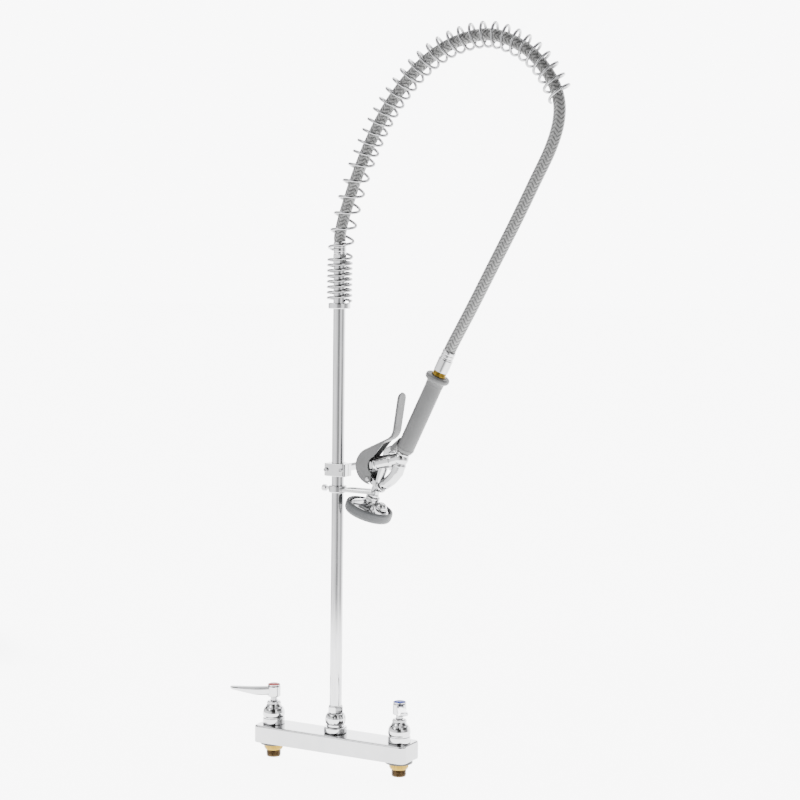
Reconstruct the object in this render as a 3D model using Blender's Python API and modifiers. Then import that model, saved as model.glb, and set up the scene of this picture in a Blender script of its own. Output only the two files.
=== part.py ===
"""Deck-mounted pre-rinse faucet: base casting with two lever valves, riser, overhead spring,
braided hose, squeeze spray valve on a finger hook, and a wall bracket.

Metres, +Z up.  X runs along the base from the hot side to the cold side, +Y points to the wall,
and the origin is the centre of the base casting's underside, where it sits on the deck.
"""
import math

import bmesh
import bpy
from mathutils import Matrix, Vector

MM = 0.001
# small edge roundings, from the finest to the widest
HAIR_EDGE = 0.6 * MM
FINE_EDGE = 0.7 * MM
SMALL_EDGE = 0.8 * MM
SOFT_EDGE = 0.9 * MM
ROUND_EDGE = 1.2 * MM
WIDE_EDGE = 1.5 * MM
BARREL_END = 1.3 * MM          # lever valve barrel past the crossing of the two axes
BALL_FLAT = 1.9 * MM           # flat under the ball where the grip lands
NECK_PAST = 1.7 * MM           # outlet neck carried past the spray head's seat
NAME = "pre_rinse_faucet"
ROUND = 16                     # sides of a turned piece
LARGE_ROUND = 20               # sides of a large one
SMALL_ROUND = 12               # sides of a pin or a screw
CUTTER_TWIST = 3.7             # degrees

# ---------------------------------------------------------------- clearances
GAP = 0.3 * MM                 # between pieces that touch
FIT = 0.3 * MM                 # radial, between a bore and what sits in it
RUNNING = 0.5 * MM             # radial, between a bore and what turns or slides in it

# ---------------------------------------------------------------- base casting and inlets
VALVE_CENTRES = 203.2 * MM     # 8 inch centres
BODY_END = 20 * MM             # casting beyond each valve axis
BODY_WIDTH = 50 * MM
BODY_HEIGHT = 24.6 * MM
BODY_CORNER = 9 * MM
BODY_EDGE = 1.6 * MM
WATERWAY = 11 * MM
WATERWAY_HEIGHT = 14.5 * MM      # its axis above the deck face
SHANK_OD = 20.9 * MM           # 1/2 inch straight pipe thread
SHANK_WALL = 2.9 * MM
SHANK_BELOW = 22.5 * MM
SHANK_INSIDE = 7.6 * MM
WASHER_OD = 38 * MM
WASHER_THICK = 4.0 * MM
NUT_OD = 27 * MM
NUT_THICK = 8 * MM

# ---------------------------------------------------------------- hot and cold valves
CARTRIDGE_OD = 19 * MM
CARTRIDGE_PORT = 6 * MM
CARTRIDGE_IN_BODY = 14.5 * MM
CARTRIDGE_ABOVE = 17 * MM
STEM_LOWER = 6.4 * MM
STEM_NECK = 9.6 * MM
STEM_TOP = 7.2 * MM
STEM_FOOT = 20 * MM            # above the deck face
BONNET_OD = 31.5 * MM
BONNET_FLANGE = 8.2 * MM
BONNET_HEIGHT = 32.5 * MM
BONNET_TOP_OD = 19 * MM
NECK_SHOWN = 6.2 * MM          # stem between bonnet and hub
HUB_OD = 19 * MM
HUB_HEIGHT = 15.7 * MM
HUB_SOCKET = 7.5 * MM
LEVER_LENGTH = 64 * MM
LEVER_WIDTH = 11 * MM
LEVER_ROOT = 12.5 * MM         # depth where it leaves the hub
LEVER_TIP = 5 * MM             # depth at the tip
LEVER_SPREAD = {"hot": 50.0, "cold": 35.0}  # degrees that each lever points outward from the front
BUTTON_OD = 17.6 * MM
BUTTON_RIM = 2.1 * MM
RECESS_OD = 13 * MM
RECESS_DEPTH = 5 * MM
HANDLE_SCREW = 3.6 * MM
HANDLE_SCREW_LENGTH = 12 * MM
SCREW_HEAD = 8 * MM
SCREW_HEAD_THICK = 2.2 * MM

# ---------------------------------------------------------------- centre outlet and riser
OUTLET_RING_OD = 33 * MM
OUTLET_RING_HEIGHT = 8.6 * MM
OUTLET_NUT_OD = 29.5 * MM
OUTLET_NUT_HEIGHT = 19 * MM
ADAPTER_AF = 20 * MM           # across flats of the hexagon above the nut
ADAPTER_HEX = 9.5 * MM
SPIGOT_OD = 17 * MM
SPIGOT_BORE = 10.4 * MM
SPIGOT_IN_BODY = 12 * MM
RISER_OD = 17.1 * MM           # 3/8 inch pipe
RISER_WALL = 2.3 * MM
RISER_SOCKET = 7 * MM
RISER_TOP = 683.7 * MM           # above the deck face
O_RING = 1.9 * MM

# ---------------------------------------------------------------- overhead spring and hose
COLLAR_OD = 31 * MM
COLLAR_HEIGHT = 8 * MM
SPRING_OD = 36 * MM
SPRING_WIRE = 4 * MM
SPRING_START = 627.2 * MM      # above the deck face
TIGHT_TURNS = 8
TIGHT_PITCH = 7.4 * MM
WIDE_TURNS = 6
WIDE_PITCH = 22.7 * MM
ARC_TURNS = 26
TURN_POINTS = 8                # points of the wire in each turn
HOSE_OD = 16.5 * MM
HOSE_STEP = 20 * MM
HOSE_SQUARE = 3 * MM           # its end faces lie square on the ferrules
HOSE_STRAIGHT = 9 * MM         # straight out of each ferrule
HOSE_NUT_AF = 18 * MM
HOSE_NUT_HEIGHT = 16 * MM
HOSE_NUT_GRIP = 8 * MM         # riser inside the nut
UPPER_FERRULE_OD = 18 * MM
UPPER_FERRULE = 16 * MM

# centreline of the overhead spring in mm, X and Z, from the riser round to its free end
SPRING_ROUTE = [(0.0, 627.2), (0.0, 653.7), (0.3, 679.7), (2.0, 705.7), (9.0, 741.7), (26.0, 796.7),
                (50.0, 850.7), (80.0, 898.7), (120.0, 941.7), (168.0, 970.7), (222.0, 980.7),
                (270.0, 964.7), (303.0, 936.7), (326.0, 898.7)]

# centreline of the hose in mm, X and Z, between its upper and its lower ferrule
HOSE_ROUTE = [(6.5, 743.7), (25.5, 796.7), (50.0, 850.7), (80.0, 898.7), (120.0, 941.7),
              (168.0, 970.7), (222.0, 980.7), (269.5, 964.2), (302.0, 935.7), (321.0, 902.7),
              (324.0, 870.7), (313.5, 833.7), (290.0, 786.7), (263.0, 734.2), (234.0, 680.7),
              (204.6, 626.2)]

# ---------------------------------------------------------------- spray valve, in the XZ plane
GRIP_FOOT = (103.6 * MM, 425.5 * MM)
GRIP_LEAN = 25.8               # degrees from upright towards +X
GRIP_LENGTH = 110 * MM
GRIP_OD = 24 * MM
GRIP_FLANGE_OD = 34 * MM
GRIP_FLANGE = 8 * MM
HANDLE_TUBE_OD = 14 * MM
HANDLE_TUBE_WALL = 2 * MM
COUPLING_OD = 20 * MM          # brass coupling above the grip
COUPLING = 5.7 * MM
LOWER_FERRULE_OD = 18.6 * MM
LOWER_FERRULE = 31.2 * MM
HOSE_WASHER = 2 * MM
BALL_RADIUS = 10.5 * MM
BALL_DROP = 10 * MM            # ball centre below the foot of the grip, along the grip
BARREL_LEAN = 75.0
BARREL_OD = 20 * MM
BARREL_LENGTH = 41.5 * MM
CHAMBER = 11 * MM
SEAT_BORE = 7.6 * MM
SEAT_DEPTH = 24 * MM           # from the barrel's left end
SEAT_WALL = 3 * MM
INNER_CHAMBER = 12 * MM
BONNET_AF = 16 * MM
VALVE_BONNET = 8 * MM
PACKING_NUT_OD = 12 * MM
PACKING_NUT = 4.5 * MM
VALVE_STEM = 5 * MM
STEM_WASHER = 2.6 * MM
STEM_WASHER_OD = 10.4 * MM
RETURN_SPRING_OD = 9.4 * MM
RETURN_SPRING_WIRE = 1.2 * MM
RETURN_SPRING_TURNS = 5
SPIGOT_UP = 24 * MM            # valve spigot inside the handle tube's foot

# cast elbow from the ball round to the neck: X and Z of its middle line and its radius, in mm
ELBOW_ROUTE = [(98.6, 414.7, 8.2), (95.6, 402.7, 8.2), (89.0, 391.2, 8.1), (79.5, 382.2, 7.8),
               (69.5, 376.2, 7.2), (62.6, 373.1, 6.0)]

# ---------------------------------------------------------------- spray head
HEAD_CENTRE = (50 * MM, 342.7 * MM)
HEAD_LEAN = 20.0
VALVE_NECK_OD = 13.4 * MM
NECK_BORE = 7 * MM
NECK_SPIGOT_OD = 11.4 * MM
HEAD_COLLAR_OD = 20 * MM
HEAD_COLLAR_TOP = 20 * MM      # above the head's centre, along its axis
NECK_SPIGOT = 7 * MM
HEAD_OD = 57.4 * MM
HEAD_WALL = 1.8 * MM
BUMPER_OD = 67 * MM
BUMPER_HEIGHT = 15 * MM
FACE_THICK = 3 * MM
FACE_HOLES = 8
FACE_HOLE = 2.4 * MM

# ---------------------------------------------------------------- squeeze lever
CURL_CENTRE = (59.5 * MM, 403.7 * MM)
CURL_RADIUS = 26 * MM
CURL_START = -130.0            # degrees, foot of the curl's outer wall
ARM_RISE = 25.7                # degrees above level
ARM_LENGTH = 47 * MM
PADDLE_RISE = 81.5
PADDLE_LENGTH = 61 * MM
PADDLE_BEND = 18 * MM
SQUEEZE_WIDTH = 22 * MM
SQUEEZE_PLATE = 3.2 * MM
CHEEK_PLATE = 2.4 * MM
CHEEK_HOLE = (66 * MM, 404.7 * MM)
CHEEK_HOLE_RADIUS = 13 * MM
PIVOT = (53 * MM, 386.2 * MM)
PIVOT_PIN = 3.8 * MM
PIVOT_BOSS = 5 * MM            # radius
LUG_RADIUS = 4.2 * MM
STOP_WIDTH = 12 * MM           # grey stop beside the foot of the grip
STOP_TOP = 16 * MM             # up the grip from its foot
STOP_FOOT = 5 * MM             # and below it
STOP_OUT = 6.5 * MM            # out from the grip

# ---------------------------------------------------------------- finger hook
HOOK_HEIGHT = 365.7 * MM         # underside of the prongs above the deck face
HOOK_THICK = 4.4 * MM
HOOK_RING_OD = 25 * MM
HOOK_RING = 10 * MM
HOOK_REACH = 64 * MM
HOOK_SLOT = 17 * MM
HOOK_PRONG = 6 * MM
HOOK_SCREW = 5 * MM
HOOK_KNOB_OD = 9 * MM
HOOK_KNOB = 6 * MM
HOOK_SCREW_OUT = 24 * MM       # knob's outer face from the riser's axis

# ---------------------------------------------------------------- wall bracket
BRACKET_HEIGHT = 394.7 * MM      # rod axis above the deck face
CLAMP_HEIGHT = 18 * MM
CLAMP_WIDTH = 33 * MM
CLAMP_DEPTH = 11.5 * MM        # of each half
CLAMP_SPLIT = 1.2 * MM
CLAMP_SCREWS = 24 * MM         # spacing
CLAMP_SCREW = 3.5 * MM
CLAMP_SCREW_HEAD = 6.4 * MM
CLAMP_SCREW_HEAD_THICK = 2.4 * MM
ROD_OD = 11 * MM
ROD_BOSS_OD = 17 * MM
ROD_BOSS = 9 * MM
ROD_GRIP = 8 * MM              # rod inside its socket at each end
WALL_DISTANCE = 165 * MM       # wall face from the riser's axis
WALL_FLANGE_OD = 39 * MM
WALL_FLANGE = 6 * MM
WALL_HUB_OD = 19 * MM
WALL_HUB = 8 * MM
WALL_SCREW_HOLE = 4.6 * MM
WALL_SCREW_RADIUS = 14.2 * MM


# ================================================================ helpers
def clear_scene():
    for thing in list(bpy.data.objects):
        bpy.data.objects.remove(thing, do_unlink=True)


def collection(name):
    made = bpy.data.collections.new(name)
    bpy.context.scene.collection.children.link(made)
    return made


def material(name, colour, roughness, metallic):
    made = bpy.data.materials.new(name)
    made.use_nodes = True
    shader = made.node_tree.nodes["Principled BSDF"]
    shader.inputs["Base Color"].default_value = (*colour, 1.0)
    shader.inputs["Roughness"].default_value = roughness
    shader.inputs["Metallic"].default_value = metallic
    return made


def add_part(name, data, finish):
    """A named sub-part with a material of its own."""
    made = bpy.data.objects.new(name, data)
    data.materials.append(FINISHES[finish].copy())
    data.materials[0].name = name + "_material"
    PARTS.objects.link(made)
    return made


def add_cutter(name, data):
    made = bpy.data.objects.new(name, data)
    made.hide_render = True
    made.display_type = "WIRE"
    CUTTERS.objects.link(made)
    return made


def lean_matrix(x, z, lean, y=0.0):
    """Local +Z leans from upright towards +X by this many degrees, local Y stays world Y."""
    return Matrix.Translation((x, y, z)) @ Matrix.Rotation(math.radians(lean), 4, "Y")


def step_along(point, lean, distance):
    """The point this far along a leaning axis, in the XZ plane."""
    turn = math.radians(lean)
    return (point[0] + math.sin(turn) * distance, point[1] + math.cos(turn) * distance)


def profile_mesh(name, profile, hollow):
    """Open profile of (radius, height) down the outer side, closed up the bore when hollow."""
    count = len(profile)
    edges = [(i, i + 1) for i in range(count - 1)]
    if hollow:
        edges.append((count - 1, 0))
    mesh = bpy.data.meshes.new(name)
    mesh.from_pydata([(radius, 0.0, height) for radius, height in profile], edges, [])
    return mesh


def screw(target, steps):
    turn = target.modifiers.new("turned", "SCREW")
    turn.axis = "Z"
    turn.steps = steps
    turn.render_steps = steps
    turn.use_merge_vertices = True
    turn.merge_threshold = 0.00001


def turned(name, profile, finish, place=None, steps=ROUND, hollow=False):
    made = add_part(name, profile_mesh(name, profile, hollow), finish)
    made.matrix_world = place or Matrix.Identity(4)
    screw(made, steps)
    return made


def turned_cutter(name, profile, place=None, steps=ROUND, hollow=False):
    """As turned, twisted so that its seams miss those of the piece that it cuts."""
    made = add_cutter(name, profile_mesh(name, profile, hollow))
    twist = Matrix.Rotation(math.radians(CUTTER_TWIST), 4, "Z")
    made.matrix_world = (place or Matrix.Identity(4)) @ twist
    screw(made, steps)
    return made


def pin_profile(radius, bottom, top):
    return [(0.0, top), (radius, top), (radius, bottom), (0.0, bottom)]


def tube_profile(outer, inner, bottom, top):
    return [(outer, top), (outer, bottom), (inner, bottom), (inner, top)]


def outline_mesh(name, outline, thickness, bevel=0.0):
    """A flat outline in local XY, thickened evenly about z = 0."""
    mesh = bpy.data.meshes.new(name)
    build = bmesh.new()
    face = build.faces.new([build.verts.new((x, y, -thickness / 2)) for x, y in outline])
    lifted = bmesh.ops.extrude_face_region(build, geom=[face])
    corners = [item for item in lifted["geom"] if isinstance(item, bmesh.types.BMVert)]
    bmesh.ops.translate(build, verts=corners, vec=(0, 0, thickness))
    if bevel:
        rims = [edge for edge in build.edges if abs(edge.verts[0].co.z - edge.verts[1].co.z) < 1e-7]
        bmesh.ops.bevel(build, geom=rims, offset=bevel, segments=1, affect="EDGES", profile=0.5)
    bmesh.ops.recalc_face_normals(build, faces=build.faces)
    build.to_mesh(mesh)
    build.free()
    smooth(mesh)
    return mesh


def smooth(mesh):
    mesh.shade_smooth()
    mesh.set_sharp_from_angle(angle=math.radians(35))


def arc(centre, radius, start, end, points):
    """Points on an arc in a plane, angles in degrees, both ends included."""
    steps = [math.radians(start + (end - start) * i / (points - 1)) for i in range(points)]
    return [(centre[0] + radius * math.cos(a), centre[1] + radius * math.sin(a)) for a in steps]


def boolean(target, other, operation="DIFFERENCE"):
    step = target.modifiers.new(operation.lower(), "BOOLEAN")
    step.operation = operation
    step.solver = "EXACT"
    step.object = other


def cut(target, *others):
    for other in others:
        boolean(target, other)


def join(target, *others):
    for other in others:
        boolean(target, other, "UNION")


def bevel_edges(target, width, segments=2, angle=35.0):
    step = target.modifiers.new("bevel", "BEVEL")
    step.width = width
    step.segments = segments
    step.limit_method = "ANGLE"
    step.angle_limit = math.radians(angle)
    return step


def hexagon(across_flats, flat_to_y=True):
    """Corners of a hexagon; two of its flats face local +Y and -Y, or +X and -X."""
    start = 0.0 if flat_to_y else 30.0
    corner = across_flats / 2 / math.cos(math.radians(30))
    return [(corner * math.cos(math.radians(start + 60 * i)),
             corner * math.sin(math.radians(start + 60 * i))) for i in range(6)]


def smooth_route(route, step):
    """Even points along a smooth curve through the route's own points (X and Z, mm)."""
    knots = [Vector((x * MM, 0.0, z * MM)) for x, z in route]
    knots = [knots[0] * 2 - knots[1]] + knots + [knots[-1] * 2 - knots[-2]]
    dense = []
    for a, b, c, d in zip(knots, knots[1:], knots[2:], knots[3:]):
        for i in range(24):
            t = i / 24
            dense.append(0.5 * (2 * b + (c - a) * t + (2 * a - 5 * b + 4 * c - d) * t ** 2
                                + (3 * b - a - 3 * c + d) * t ** 3))
    dense.append(knots[-2])
    lengths = [0.0]
    for first, second in zip(dense, dense[1:]):
        lengths.append(lengths[-1] + (second - first).length)
    count = max(2, round(lengths[-1] / step) + 1)
    points = []
    index = 0
    for i in range(count):
        wanted = lengths[-1] * i / (count - 1)
        while index < len(lengths) - 2 and lengths[index + 1] < wanted:
            index += 1
        share = (wanted - lengths[index]) / (lengths[index + 1] - lengths[index])
        points.append(dense[index].lerp(dense[index + 1], share))
    return points, lengths[-1]


def wire(name, points, radius, finish, resolution=2):
    """A round wire or hose along these points, with filled caps."""
    curve = bpy.data.curves.new(name, "CURVE")
    curve.dimensions = "3D"
    curve.bevel_depth = radius
    curve.bevel_resolution = resolution
    curve.use_fill_caps = True
    spline = curve.splines.new("POLY")
    spline.points.add(len(points) - 1)
    for target, place in zip(spline.points, points):
        target.co = (*place, 1.0)
    return add_part(name, curve, finish)


def empty(name, place):
    made = bpy.data.objects.new(name, None)
    made.empty_display_size = 0.02
    PARTS.objects.link(made)
    made.location = place
    return made


def hang_on(pivot, *things):
    """Parent pieces to the empty on their joint's axis, leaving them where they are."""
    for thing in things:
        thing.parent = pivot
        thing.matrix_parent_inverse = Matrix.Translation(pivot.location).inverted()


# ================================================================ base casting
def base_body():
    half = VALVE_CENTRES / 2 + BODY_END
    mesh = bpy.data.meshes.new("base_body")
    build = bmesh.new()
    bmesh.ops.create_cube(build, size=1.0)
    bmesh.ops.scale(build, vec=(2 * half, BODY_WIDTH, BODY_HEIGHT), verts=build.verts)
    bmesh.ops.translate(build, vec=(0, 0, BODY_HEIGHT / 2), verts=build.verts)
    upright = [e for e in build.edges if abs(e.verts[0].co.z - e.verts[1].co.z) > MM]
    bmesh.ops.bevel(build, geom=upright, offset=BODY_CORNER, segments=4, affect="EDGES", profile=0.5)
    build.to_mesh(mesh)
    build.free()
    made = add_part("base_body", mesh, "chrome")
    bevel_edges(made, BODY_EDGE, 2, 60.0)
    for side in (-1, 1):
        place = Matrix.Translation((side * VALVE_CENTRES / 2, 0, 0))
        step = SHANK_INSIDE + GAP
        bore = [(0.0, BODY_HEIGHT + MM), (CARTRIDGE_OD / 2 + FIT, BODY_HEIGHT + MM),
                (CARTRIDGE_OD / 2 + FIT, step), (SHANK_OD / 2 + FIT, step),
                (SHANK_OD / 2 + FIT, -MM), (0.0, -MM)]
        cut(made, turned_cutter(f"valve_bore_{side}", bore, place))
    outlet_floor = WATERWAY_HEIGHT - WATERWAY / 2
    cut(made, turned_cutter("outlet_bore", pin_profile(SPIGOT_OD / 2 + RUNNING, outlet_floor,
                                                       BODY_HEIGHT + MM)))
    along_x = lean_matrix(0, WATERWAY_HEIGHT, 90)
    cut(made, turned_cutter("waterway", pin_profile(WATERWAY / 2, -VALVE_CENTRES / 2,
                                                    VALVE_CENTRES / 2), along_x, SMALL_ROUND))
    return made


def inlet(side_name, side):
    """Threaded shank, deck washer and lock nut under one end of the casting."""
    place = Matrix.Translation((side * VALVE_CENTRES / 2, 0, 0))
    shank = tube_profile(SHANK_OD / 2, SHANK_OD / 2 - SHANK_WALL, -SHANK_BELOW, SHANK_INSIDE)
    turned(side_name + "_inlet_shank", shank, "brass", place, hollow=True)
    washer_foot = -GAP - WASHER_THICK
    washer = tube_profile(WASHER_OD / 2, SHANK_OD / 2 + FIT, washer_foot, -GAP)
    turned(side_name + "_shank_washer", washer, "rubber", place, LARGE_ROUND, hollow=True)
    top = washer_foot - GAP
    foot = top - NUT_THICK
    rim = SMALL_EDGE
    nut = [(NUT_OD / 2 - rim, top), (NUT_OD / 2, top - rim), (NUT_OD / 2, foot + 2 * rim),
           (NUT_OD / 2 - 2 * rim, foot), (SHANK_OD / 2 + FIT, foot), (SHANK_OD / 2 + FIT, top)]
    turned(side_name + "_lock_nut", nut, "brass", place, hollow=True)


# ================================================================ hot and cold valves
def bonnet_top():
    return BODY_HEIGHT + GAP + BONNET_HEIGHT


def hub_bottom():
    return bonnet_top() + NECK_SHOWN


def valve(side_name, side):
    place = Matrix.Translation((side * VALVE_CENTRES / 2, 0, 0))
    foot = BODY_HEIGHT + GAP
    bore = CARTRIDGE_OD / 2 + FIT
    shoulder = BODY_HEIGHT + CARTRIDGE_ABOVE + GAP
    neck_bore = STEM_NECK / 2 + RUNNING
    wide = BONNET_OD / 2
    dome_foot = foot + BONNET_FLANGE + 1.4 * MM
    dome = [(math.cos(math.radians(a)) * (wide - BONNET_TOP_OD / 2) + BONNET_TOP_OD / 2,
             dome_foot + 4 * MM + math.sin(math.radians(a)) * 11 * MM) for a in (80, 60, 40, 20, 0)]
    profile = [(BONNET_TOP_OD / 2 - WIDE_EDGE, bonnet_top()),
               (BONNET_TOP_OD / 2, bonnet_top() - WIDE_EDGE)] + dome + [
                   (wide - ROUND_EDGE, dome_foot), (wide - ROUND_EDGE, foot + BONNET_FLANGE),
                   (wide, foot + BONNET_FLANGE - HAIR_EDGE), (wide, foot), (bore, foot),
                   (bore, shoulder), (neck_bore, shoulder), (neck_bore, bonnet_top())]
    turned(side_name + "_bonnet", profile, "chrome", place, LARGE_ROUND, hollow=True)

    cartridge_foot = BODY_HEIGHT - CARTRIDGE_IN_BODY
    core = STEM_LOWER / 2 + RUNNING
    cartridge = turned(side_name + "_cartridge",
                       tube_profile(CARTRIDGE_OD / 2, core, cartridge_foot,
                                    BODY_HEIGHT + CARTRIDGE_ABOVE), "brass", place, hollow=True)
    port_place = lean_matrix(side * VALVE_CENTRES / 2, WATERWAY_HEIGHT, -90 * side)
    cut(cartridge, turned_cutter(side_name + "_port",
                                 pin_profile(CARTRIDGE_PORT / 2, 0.0, CARTRIDGE_OD), port_place, 8))

    pivot = empty(side_name + "_handle_axis", (side * VALVE_CENTRES / 2, 0, hub_bottom()))
    socket_top = hub_bottom() + HUB_SOCKET
    neck_top = hub_bottom() - GAP
    neck_foot = shoulder + GAP
    stem = turned(side_name + "_stem",
                  [(0.0, socket_top - HANDLE_SCREW_LENGTH + 2 * MM),
                   (HANDLE_SCREW / 2 + FIT, socket_top - HANDLE_SCREW_LENGTH + 2 * MM),
                   (HANDLE_SCREW / 2 + FIT, socket_top - GAP), (STEM_TOP / 2, socket_top - GAP),
                   (STEM_TOP / 2, neck_top), (STEM_NECK / 2, neck_top), (STEM_NECK / 2, neck_foot),
                   (STEM_LOWER / 2, neck_foot), (STEM_LOWER / 2, STEM_FOOT), (0.0, STEM_FOOT)],
                  "brushed", place, SMALL_ROUND)
    handle = lever_handle(side_name, side, socket_top)
    head_foot = hub_bottom() + HUB_HEIGHT - RECESS_DEPTH + GAP
    head_top = head_foot + SCREW_HEAD_THICK
    screw_foot = head_foot - HANDLE_SCREW_LENGTH + 2.4 * MM + GAP
    fastener = turned(side_name + "_handle_screw",
                      [(0.0, head_top), (SCREW_HEAD / 2 - HAIR_EDGE, head_top),
                       (SCREW_HEAD / 2, head_top - SMALL_EDGE), (SCREW_HEAD / 2, head_foot),
                       (HANDLE_SCREW / 2, head_foot), (HANDLE_SCREW / 2, screw_foot),
                       (0.0, screw_foot)], "brushed", place, SMALL_ROUND)
    hub_top = hub_bottom() + HUB_HEIGHT
    rim_foot = hub_top + GAP
    button = turned(side_name + "_index_button",
                    [(0.0, rim_foot + BUTTON_RIM), (BUTTON_OD / 2 - FINE_EDGE, rim_foot + BUTTON_RIM),
                     (BUTTON_OD / 2, rim_foot + BUTTON_RIM - FINE_EDGE), (BUTTON_OD / 2, rim_foot),
                     (RECESS_OD / 2 - FIT, rim_foot), (RECESS_OD / 2 - FIT, head_top + GAP),
                     (0.0, head_top + GAP)], side_name, place)
    hang_on(pivot, stem, handle, fastener, button)


def lever_handle(side_name, side, socket_top):
    """Hub with the tapered lever, pointing forwards and outwards."""
    bottom = hub_bottom()
    top = bottom + HUB_HEIGHT
    edge = SMALL_EDGE
    recess = top - RECESS_DEPTH
    hole = HANDLE_SCREW / 2 + FIT
    stem_bore = STEM_TOP / 2 + FIT
    place = Matrix.Translation((side * VALVE_CENTRES / 2, 0, 0))
    profile = [(HUB_OD / 2 - edge, top), (HUB_OD / 2, top - edge), (HUB_OD / 2, bottom + edge),
               (HUB_OD / 2 - edge, bottom), (stem_bore, bottom), (stem_bore, socket_top),
               (hole, socket_top), (hole, recess), (RECESS_OD / 2, recess), (RECESS_OD / 2, top)]
    made = turned(side_name + "_lever_handle", profile, "chrome", place, ROUND, hollow=True)
    start = RECESS_OD / 2 + ROUND_EDGE
    high = top - SOFT_EDGE
    outline = [(start, high), (start, high - LEVER_ROOT), (LEVER_LENGTH * 0.42, high - LEVER_ROOT),
               (LEVER_LENGTH - 4 * MM, high - LEVER_TIP), (LEVER_LENGTH, high - LEVER_TIP + 2 * MM),
               (LEVER_LENGTH, high + MM), (LEVER_LENGTH - 2 * MM, high + 2 * MM)]
    blade = add_cutter(side_name + "_blade",
                       outline_mesh(side_name + "_blade", outline, LEVER_WIDTH, 1.6 * MM))
    heading = math.radians(-90 + side * LEVER_SPREAD[side_name])
    blade.matrix_world = (place @ Matrix.Rotation(heading, 4, "Z")
                          @ Matrix.Rotation(math.radians(90), 4, "X"))
    join(made, blade)
    return made


# ================================================================ centre outlet and riser
def outlet():
    foot = BODY_HEIGHT + GAP
    running = SPIGOT_OD / 2 + RUNNING
    ring_top = foot + OUTLET_RING_HEIGHT
    edge = SMALL_EDGE
    ring = [(OUTLET_RING_OD / 2 - edge, ring_top), (OUTLET_RING_OD / 2, ring_top - edge),
            (OUTLET_RING_OD / 2, foot), (running, foot), (running, ring_top)]
    turned("outlet_ring", ring, "chrome", None, LARGE_ROUND, hollow=True)
    nut_foot = ring_top + GAP
    nut_top = nut_foot + OUTLET_NUT_HEIGHT
    bulge = [(OUTLET_NUT_OD / 2 - (1 - math.cos(math.radians(a))) * 6 * MM,
              nut_foot + OUTLET_NUT_HEIGHT * (0.55 + 0.45 * math.sin(math.radians(a))))
             for a in (75, 50, 25, 0, -25)]
    nut = [(SPIGOT_OD / 2 + 2.4 * MM, nut_top)] + bulge + [(OUTLET_NUT_OD / 2 - 2.4 * MM, nut_foot + 3 * MM),
                                            (OUTLET_NUT_OD / 2 - 2.4 * MM, nut_foot),
                                            (running, nut_foot), (running, nut_top)]
    turned("outlet_nut", nut, "chrome", None, LARGE_ROUND, hollow=True)
    return nut_top


def riser_group(nut_top):
    hex_foot = nut_top + GAP
    hex_top = hex_foot + ADAPTER_HEX
    spigot_foot = BODY_HEIGHT - SPIGOT_IN_BODY
    groove = spigot_foot + 5 * MM
    wide = SPIGOT_OD / 2
    spigot = [(wide, hex_foot + MM), (wide, groove + O_RING + 2 * FIT),
              (wide - O_RING + FIT, groove + O_RING + 2 * FIT), (wide - O_RING + FIT, groove),
              (wide, groove), (wide, spigot_foot), (SPIGOT_BORE / 2, spigot_foot),
              (SPIGOT_BORE / 2, hex_foot + MM)]
    adapter = turned("riser_adapter", spigot, "chrome", hollow=True)
    hexagon_block = add_cutter("adapter_hexagon", outline_mesh(
        "adapter_hexagon", hexagon(ADAPTER_AF), ADAPTER_HEX, FINE_EDGE))
    hexagon_block.location = (0, 0, hex_foot + ADAPTER_HEX / 2)
    join(adapter, hexagon_block)
    cut(adapter, turned_cutter("adapter_bore", pin_profile(SPIGOT_BORE / 2, hex_foot - MM,
                                                           hex_top + MM)))
    cut(adapter, turned_cutter("adapter_socket", pin_profile(RISER_OD / 2 + FIT,
                                                             hex_top - RISER_SOCKET, hex_top + MM)))
    ring_radius = O_RING / 2 - FIT / 2
    middle = wide - O_RING / 2 + FIT + 0.25 * MM
    centre = (middle, groove + O_RING / 2 + FIT)
    ring = [(x, z) for x, z in arc(centre, ring_radius, 90, -210, 6)]
    o_ring = turned("outlet_o_ring", ring, "rubber", hollow=True)
    riser_foot = hex_top - RISER_SOCKET + GAP
    pipe = turned("riser_pipe", tube_profile(RISER_OD / 2, RISER_OD / 2 - RISER_WALL, riser_foot,
                                             RISER_TOP), "chrome", hollow=True)
    return [adapter, o_ring, pipe]


# ================================================================ overhead spring and hose
def spring_collar():
    """Clamp ring under the spring, held on the riser by a set screw."""
    top = SPRING_START - SPRING_WIRE / 2 - GAP
    foot = top - COLLAR_HEIGHT
    edge = SOFT_EDGE
    bore = RISER_OD / 2 + FIT
    ring = [(COLLAR_OD / 2 - edge, top), (COLLAR_OD / 2, top - edge), (COLLAR_OD / 2, foot + edge),
            (COLLAR_OD / 2 - edge, foot), (bore, foot), (bore, top)]
    collar = turned("spring_collar", ring, "chrome", None, LARGE_ROUND, hollow=True)
    middle = (top + foot) / 2
    facing = Matrix.Translation((0, 0, middle)) @ Matrix.Rotation(math.radians(90), 4, "X")
    hole = pin_profile(2 * MM + FIT, 0.0, COLLAR_OD)
    cut(collar, turned_cutter("set_screw_hole", hole, facing, SMALL_ROUND))
    fastener = turned("collar_set_screw", pin_profile(2 * MM, bore + GAP, COLLAR_OD / 2 - edge),
                      "brushed", facing, SMALL_ROUND)
    return [collar, fastener]


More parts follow.
